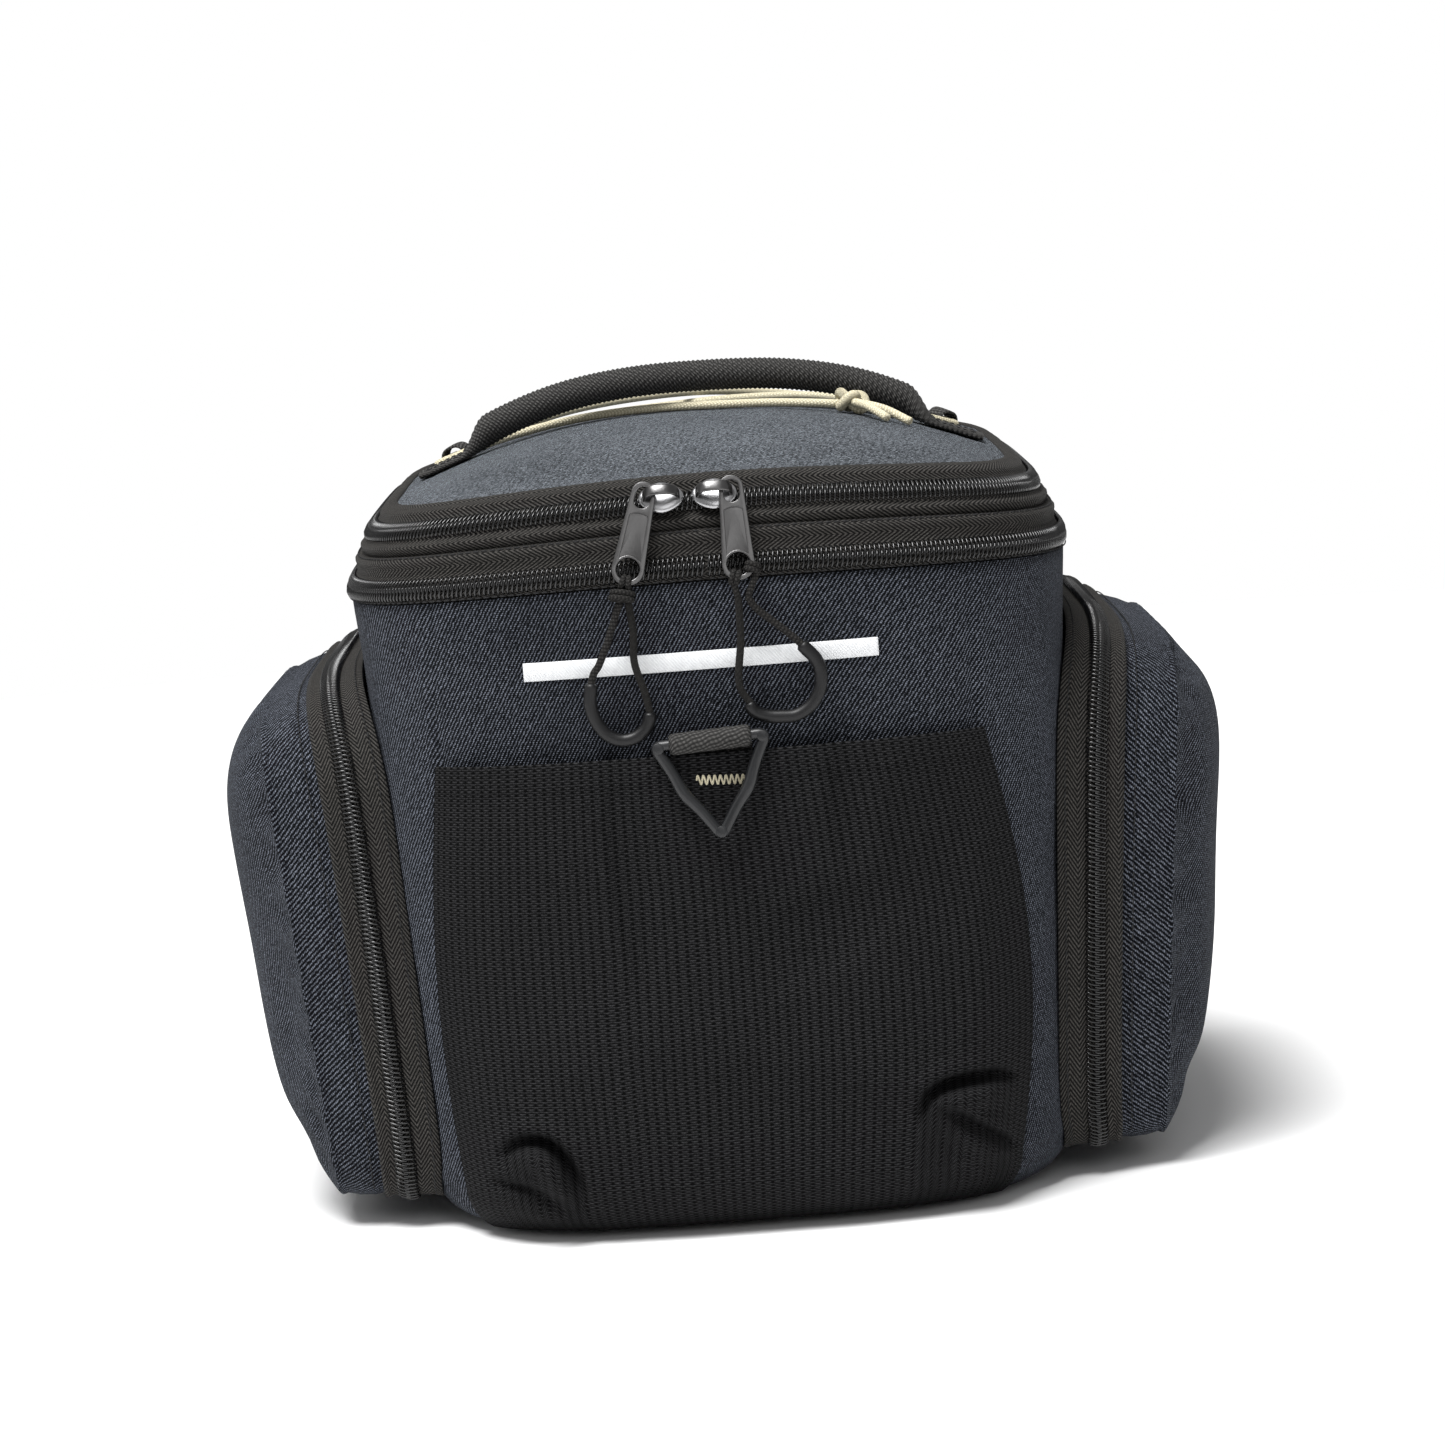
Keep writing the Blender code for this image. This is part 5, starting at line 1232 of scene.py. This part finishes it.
def triangle_ring(matrix):
    """Moulded triangle of plastic bar with swollen legs and a round boss at each corner."""
    matrix = matrix @ Matrix.Rotation(math.pi / 2 - RING_LEAN, 4, "X")
    corners = [np.array(c) for c in ((RING_HALF_WIDTH, 0.0), (0.0, -RING_DROP), (-RING_HALF_WIDTH, 0.0))]
    route, swell = [], []
    for k, corner in enumerate(corners):
        before, after = corners[k - 1] - corner, corners[(k + 1) % 3] - corner
        start, end = (corner + unit(way) * RING_CORNER_RADIUS for way in (before, after))
        for t in np.linspace(0, 1, 12):
            route.append(start * (1 - t) ** 2 + corner * 2 * t * (1 - t) + end * t ** 2)
            swell.append(1.0)
        if k == 2:
            break
        far = corners[k + 1] - unit(after) * RING_CORNER_RADIUS
        outward = unit(np.array([1.0 if k == 0 else -1.0, -0.6]))
        for t in np.linspace(0, 1, 30)[1:-1]:
            hill = bell(t, 0.5, 0.17)
            kink = RING_KINK * (0.35 * math.sin(math.pi * t) + 0.65 * hill)
            route.append(end * (1 - t) + far * t + outward * kink)
            swell.append(1.0 + 0.12 * hill)
    flat = np.array([(x, y, 0.0) for x, y in route])
    radii = RING_BAR_RADIUS * np.array(swell)
    parts = [tube("bar", placed(matrix, flat), radii, "ring_plastic", closed=True, sides=20)]
    turn = np.linspace(0, 2 * math.pi, 28, endpoint=False)
    circle = np.stack([np.cos(turn), np.sin(turn), np.zeros_like(turn)], axis=1)
    for corner in corners:
        centre = corner + unit([0.0, -RING_DROP / 3] - corner) * 0.0016
        rings = [placed(matrix, circle * BOSS_RADIUS * size + [*centre, BOSS_HALF_HEIGHT * level])
                 for size, level in BOSS_RINGS]
        parts.append(grid("boss", rings, "ring_plastic", closed=True, capped=True))
    dress(joined("ring_bar", parts), "ring_plastic", "ring", ("triangle_ring",))


def bartack():
    """Dense cream zigzag that holds the webbing's legs to the mesh."""
    tree = caster(bpy.data.objects["mesh_pocket_cloth"])
    route = []
    for k in range(37):
        x = -0.0089 + 0.0166 * k / 36
        z = 0.1530 - x * math.tan(RING_TILT) + (0.0, 0.0015, 0.0, -0.0015)[k % 4]
        route.append(cast(tree, (x, -0.4, z), (0.0, 1.0, 0.0)) - [0.0, 0.00025 + 0.0002 * (k % 2), 0.0])
    tube("cream_bartack", smooth_through(route, 300), 0.00033, "cream_thread", sides=8)


STRIPE_LEFT = -0.063
STRIPE_RIGHT = 0.054
STRIPE_HEIGHT = 0.192
STRIPE_WIDTH = 0.0062
# Rows up the stripe: share of its width from its middle, and how proud in metres
STRIPE_ROWS = ((-0.5, 0.0001), (-0.49, 0.00035), (-0.45, 0.0005), (0.0, 0.0005),
               (0.45, 0.0005), (0.49, 0.00035), (0.5, 0.0001))


def reflective_stripe():
    """Plain pale bar, bonded to the twill and following its waves."""
    x = np.linspace(STRIPE_LEFT, STRIPE_RIGHT, 160)
    rows = []
    for up, proud in STRIPE_ROWS:
        height = STRIPE_HEIGHT + STRIPE_WIDTH * up
        points = np.stack([x, rear_face(x, wall_inset(height)), np.full_like(x, height)], axis=1)
        rows.append(points + out_direction(points) * (proud - panel_give(points))[:, None])
    grid("reflective_bar", rows, "reflective", ("reflective_stripe",), thickness=0.0003)


# Carry handle and lacing, as in the solids
HANDLE_HALF_SPAN = 0.081
HANDLE_END_LENGTH = 0.020
HANDLE_REACH = HANDLE_HALF_SPAN + HANDLE_END_LENGTH
HANDLE_TUBE_RADIUS = 0.0055
HANDLE_STRAP_WIDTH = 0.026
HANDLE_STRAP_THICKNESS = 0.0022
HANDLE_GAP = 0.0062
HANDLE_SKEW = 0.014
HANDLE_FLAT_START = 0.9
HANDLE_FLAT_RUN = 0.16
HANDLE_LIFT_POWER = 3
# Sewn box at each end of the handle: nearest and furthest place across, and half its width
HANDLE_STITCH_BOX = (0.0845, 0.0985, 0.0100)
RIB_PITCH = 0.00165
LACING_RADIUS = 0.0015
LACING_CROSSING_LIFT = 0.0040
LACING_TURN_RADIUS = 0.009
KNOT_PLACE = np.array([0.054, -0.026])
KNOT_TURN = math.radians(-25.0)
KNOT_RADIUS = 0.0070
KNOT_END_SHIFT = 0.002
TAIL_ENDS = ((0.066, -0.052), (0.074, -0.047))
UNDER_HANDLE_LEFT = (0.008, -0.006)
UNDER_HANDLE_RIGHT = (0.061, -0.004)
CROSSING_PLACE = (0.0, 0.0815)
LACING_LOOPS = {
    "lacing_loop_left": (-0.088, 0.043),
    "lacing_loop_front_right": (0.068, 0.118),
    "lacing_loop_front_left": (-0.068, 0.118),
    "lacing_loop_right": (0.089, 0.037),
}
# Half of a loop's arch over the cord: place along the strap and height
LOOP_RISE = ((-0.0131, 0.0006), (-0.0090, 0.0006), (-0.0055, 0.0007), (-0.0046, 0.0016),
             (-0.0043, 0.0034), (-0.0026, 0.0050))
lid_tree = caster(bpy.data.objects["lid_cover"])


def lid_frame(across, along, heading, lift):
    """Matrix on the lid's cloth: X along the heading, Z out of it, raised by lift."""
    step = 0.004
    slope_x = (lid_height(across + step, along) - lid_height(across - step, along)) / (2 * step)
    slope_y = (lid_height(across, along + step) - lid_height(across, along - step)) / (2 * step)
    normal = Vector((-slope_x, -slope_y, 1.0)).normalized()
    forward = Vector((math.cos(heading), math.sin(heading), 0.0))
    forward = (forward - normal * forward.dot(normal)).normalized()
    place = Vector(cast(lid_tree, (across, along + SHIFT, 0.4), (0.0, 0.0, -1.0))) + normal * lift
    return frame_matrix(forward, normal.cross(forward), normal, place)


def handle_row(place, around):
    """Points round the handle at a place across the lid."""
    share = abs(place) / HANDLE_HALF_SPAN
    flat = min(1.0, max(0.0, (share - HANDLE_FLAT_START) / HANDLE_FLAT_RUN))
    flat = flat * flat * (3 - 2 * flat)
    half_width = HANDLE_TUBE_RADIUS + (HANDLE_STRAP_WIDTH / 2 - HANDLE_TUBE_RADIUS) * flat
    half_height = HANDLE_TUBE_RADIUS + (HANDLE_STRAP_THICKNESS / 2 - HANDLE_TUBE_RADIUS) * flat
    arch = 1 - min(1.0, share) ** HANDLE_LIFT_POWER
    matrix = lid_frame(place, -HANDLE_SKEW * place / HANDLE_REACH, 0.0, half_height)
    centre = np.array(matrix.translation) + [0.0, 0.0, 2 * GAP + HANDLE_GAP * arch]
    rib = 0.0002 * math.sin(2 * math.pi * place / RIB_PITCH)
    half_sizes = (half_width + rib, half_height + rib * (1 - 0.5 * flat))
    wide, high = power_curve(around, *half_sizes, 2.0 + 5.0 * flat, 2.0 + flat)
    return centre + np.outer(wide, [0.0, 1.0, 0.0]) + np.outer(high, matrix.col[2].xyz)


def carry_handle():
    """Ribbed webbing tube across the lid, flattened and sewn down at both ends."""
    around = np.linspace(0, 2 * math.pi, 28, endpoint=False)
    rows = np.array([handle_row(place, around) for place in np.linspace(-HANDLE_REACH, HANDLE_REACH, 860)])
    kernel = np.hanning(25)
    kernel /= kernel.sum()
    centres = rows.mean(axis=1)
    padded = np.pad(centres, ((12, 12), (0, 0)), "edge")
    smooth = np.stack([np.convolve(padded[:, k], kernel, "valid") for k in range(3)], axis=1)
    rows += (smooth - centres)[:, None]
    tree = caster(grid("handle_webbing", rows, "webbing", ("carry_handle",), closed=True, capped=True))
    near, far, half = HANDLE_STITCH_BOX
    for side, name in ((-1, "left"), (1, "right")):
        box = []
        for u, v in ((near, -half), (far, -half), (far, half), (near, half), (near, -half)):
            box.append((side * u, v - HANDLE_SKEW * side * u / HANDLE_REACH + SHIFT, 0.3))
        middle = np.array([cast(tree, p, (0, 0, -1)) for p in resample(box, 120)])
        up = np.array([0.0, 0.0, 1.0]) * np.ones_like(middle)
        across = unit(np.cross(np.gradient(middle, axis=0), up))
        thread_line(f"handle_stitches_{name}", middle, across, up, 0.0001, pitch=0.0026)


def lacing_bend(name):
    """Place of a loop, the cord's heading through it and the inward side of the bend."""
    places = [UNDER_HANDLE_LEFT] + list(LACING_LOOPS.values()) + [UNDER_HANDLE_RIGHT]
    position = list(LACING_LOOPS).index(name) + 1
    before, place, after = (np.array(p) for p in places[position - 1:position + 2])
    heading = (after - before) / np.linalg.norm(after - before)
    inward = np.array([-heading[1], heading[0]])
    if inward.dot((before + after) / 2 - place) < 0:
        inward = -inward
    return place, heading, inward


def lacing_cord():
    """Braided elastic cord from the knot through the four loops and back."""
    stops = [(KNOT_PLACE + [-KNOT_RADIUS + 0.003, KNOT_END_SHIFT], 0.0015),
             (KNOT_PLACE + [-KNOT_RADIUS - LACING_RADIUS, KNOT_END_SHIFT], 0.001),
             (UNDER_HANDLE_LEFT, 0.0)]
    lifts = {"lacing_loop_left": LACING_CROSSING_LIFT, "lacing_loop_front_left": 0.0}
    for name in LACING_LOOPS:
        place, heading, inward = lacing_bend(name)
        for turn in (-1.0, 0.0, 1.0):
            shift = inward * (1 - math.cos(turn)) + heading * math.sin(turn)
            stops.append((place + shift * LACING_TURN_RADIUS, GAP))
        if name in lifts:
            stops.append((CROSSING_PLACE, lifts[name]))
    stops += [(UNDER_HANDLE_RIGHT, 0.0),
              (KNOT_PLACE + [KNOT_END_SHIFT, KNOT_RADIUS + LACING_RADIUS], 0.0),
              (KNOT_PLACE + [KNOT_END_SHIFT, KNOT_RADIUS - 0.003], 0.001)]
    flat = smooth_through([(*place, lift) for place, lift in stops], 700)
    line = [lid_frame(x, y, 0.0, GAP + LACING_RADIUS + lift).translation for x, y, lift in flat]
    tube("lacing_elastic", line, LACING_RADIUS, "cream_cord", ("lacing_cord",), sides=14)


def lacing_knot():
    """Overhand knot with its two cut tails lying on the lid."""
    matrix = lid_frame(*KNOT_PLACE, KNOT_TURN, 0.0044)
    t = np.linspace(0, 2 * math.pi, 160, endpoint=False)
    knot = np.stack([0.00180 * (np.sin(t) + 2 * np.sin(2 * t)), 0.00145 * (np.cos(t) - 2 * np.cos(2 * t)),
                     -0.0023 * np.sin(3 * t)], axis=1)
    heart = [(-0.0016, 0.0, -0.0004), (0.0, 0.0002, 0.0004), (0.0017, 0.0, -0.0002)]
    parts = [tube("turns", placed(matrix, knot), 0.00185, "cream_cord", closed=True, sides=14),
             tube("heart", placed(matrix, heart), 0.0017, "cream_cord")]
    for k, end in enumerate(TAIL_ENDS):
        start = placed(matrix, (0.0030, -0.0022 - 0.0015 * k, 0.0))
        foot = np.array(lid_frame(*end, 0.0, GAP + LACING_RADIUS).translation)
        bend = (start + foot) / 2 + [0.0012 * (k - 0.5), 0.0, 0.0010]
        line = smooth_through([start, bend, foot], 40)
        parts.append(tube("tail", line, LACING_RADIUS, "cream_cord", sides=14))
    dress(joined("lacing_overhand", parts), "cream_cord", "bag", ("lacing_knot",))


def lacing_loop(name):
    """Small strap sewn to the lid, arched over the cord."""
    place, heading, _ = lacing_bend(name)
    matrix = lid_frame(*place, math.atan2(heading[1], heading[0]), GAP)
    stops = LOOP_RISE + ((0.0, 0.0054),) + tuple((-y, z) for y, z in LOOP_RISE[::-1])
    path = smooth_through([placed(matrix, (0.0, y, z)) for y, z in stops], 70)
    strap(name + "_strap", path, np.array(matrix)[:3, 0], 0.0034, 0.0005, "webbing", (name,), ribs=0.12)
    for side, side_name in ((-1, "left"), (1, "right")):
        points = [(0.0026 * (1 if k % 2 else -1), side * (0.0072 + 0.0006 * k), 0.00115) for k in range(8)]
        line = smooth_through(placed(matrix, points), 90)
        tube(f"{name}_tack_{side_name}", line, 0.00022, "thread", sides=6)


ring_matrix = ring_place()
ring_loop(ring_matrix)
triangle_ring(ring_matrix)
bartack()
reflective_stripe()
carry_handle()
lacing_cord()
lacing_knot()
for loop_name in LACING_LOOPS:
    lacing_loop(loop_name)


FLOOR_RADIUS = 1.9
ROOM_GLOW = 0.34
SUN_WAY = (0.22, 0.34, -1.0)
# Soft lamps: place, power in watts and width
LAMPS = {
    "top_light": ((-0.35, -0.30, 1.5), 11.0, 0.9),
    "left_light": ((-1.6, -0.7, 0.9), 1.5, 0.8),
    "front_light": ((0.3, -2.4, 1.3), 5.0, 1.0),
}
LAMP_AIM = Vector((0.0, -0.1, 0.15))
CAMERA_LENS = 126.0
CAMERA_DISTANCE = 1.65
CAMERA_ELEVATION = math.radians(6.5)
CAMERA_ROLL = math.radians(-4.4)
CAMERA_AIM = Vector((0.001, -0.175, 0.172))


def round_floor():
    """Pale disc under the bag."""
    turns = np.linspace(0, 2 * math.pi, 96, endpoint=False)
    rim = [(FLOOR_RADIUS * math.cos(a), FLOOR_RADIUS * math.sin(a), 0.0) for a in turns]
    floor = mesh_object("floor", rim, [range(len(rim))])
    shade = Shade("pale_floor")
    shade.set(Base_Color=shade.mix(shade.noise(3.0), (0.88, 0.88, 0.88), (0.92, 0.92, 0.92)), Roughness=0.9)
    floor.data.materials.append(shade.material)


def room():
    """White surroundings that light the bag less than they look bright."""
    world = bpy.data.worlds.new("white_room")
    world.use_nodes = True
    tree = world.node_tree
    seen = tree.nodes.new("ShaderNodeLightPath")
    glow = tree.nodes.new("ShaderNodeMath")
    glow.operation = "MULTIPLY_ADD"
    tree.links.new(seen.outputs["Is Camera Ray"], glow.inputs[0])
    glow.inputs[1].default_value = 1.0 - ROOM_GLOW
    glow.inputs[2].default_value = ROOM_GLOW
    tree.nodes["Background"].inputs["Color"].default_value = (1.0, 1.0, 1.0, 1.0)
    tree.links.new(glow.outputs[0], tree.nodes["Background"].inputs["Strength"])
    bpy.context.scene.world = world


def turned(way):
    """Rotation that points a lamp or a camera along a way."""
    return Vector(way).to_track_quat("-Z", "Y")


def lights():
    """Soft sun from above and three soft lamps."""
    sun = bpy.data.lights.new("soft_sun", "SUN")
    sun.energy = 3.6
    sun.angle = math.radians(28.0)
    linked("soft_sun", sun).rotation_euler = turned(SUN_WAY).to_euler()
    for name, (place, power, width) in LAMPS.items():
        lamp = bpy.data.lights.new(name, "AREA")
        lamp.energy = power
        lamp.size = width
        item = linked(name, lamp)
        item.location = place
        item.rotation_euler = turned(LAMP_AIM - Vector(place)).to_euler()


def photo_camera():
    """Camera at the photo's angle."""
    data = bpy.data.cameras.new("photo_camera")
    data.lens = CAMERA_LENS
    data.sensor_width = 36.0
    camera = linked("photo_camera", data)
    backward = Vector((0.0, -math.cos(CAMERA_ELEVATION), math.sin(CAMERA_ELEVATION)))
    turn = turned(-backward).to_matrix() @ Matrix.Rotation(CAMERA_ROLL, 3, "Z")
    camera.matrix_world = Matrix.Translation(CAMERA_AIM + backward * CAMERA_DISTANCE) @ turn.to_4x4()
    bpy.context.scene.camera = camera
    bpy.context.scene.view_settings.view_transform = "Standard"


round_floor()
room()
lights()
photo_camera()
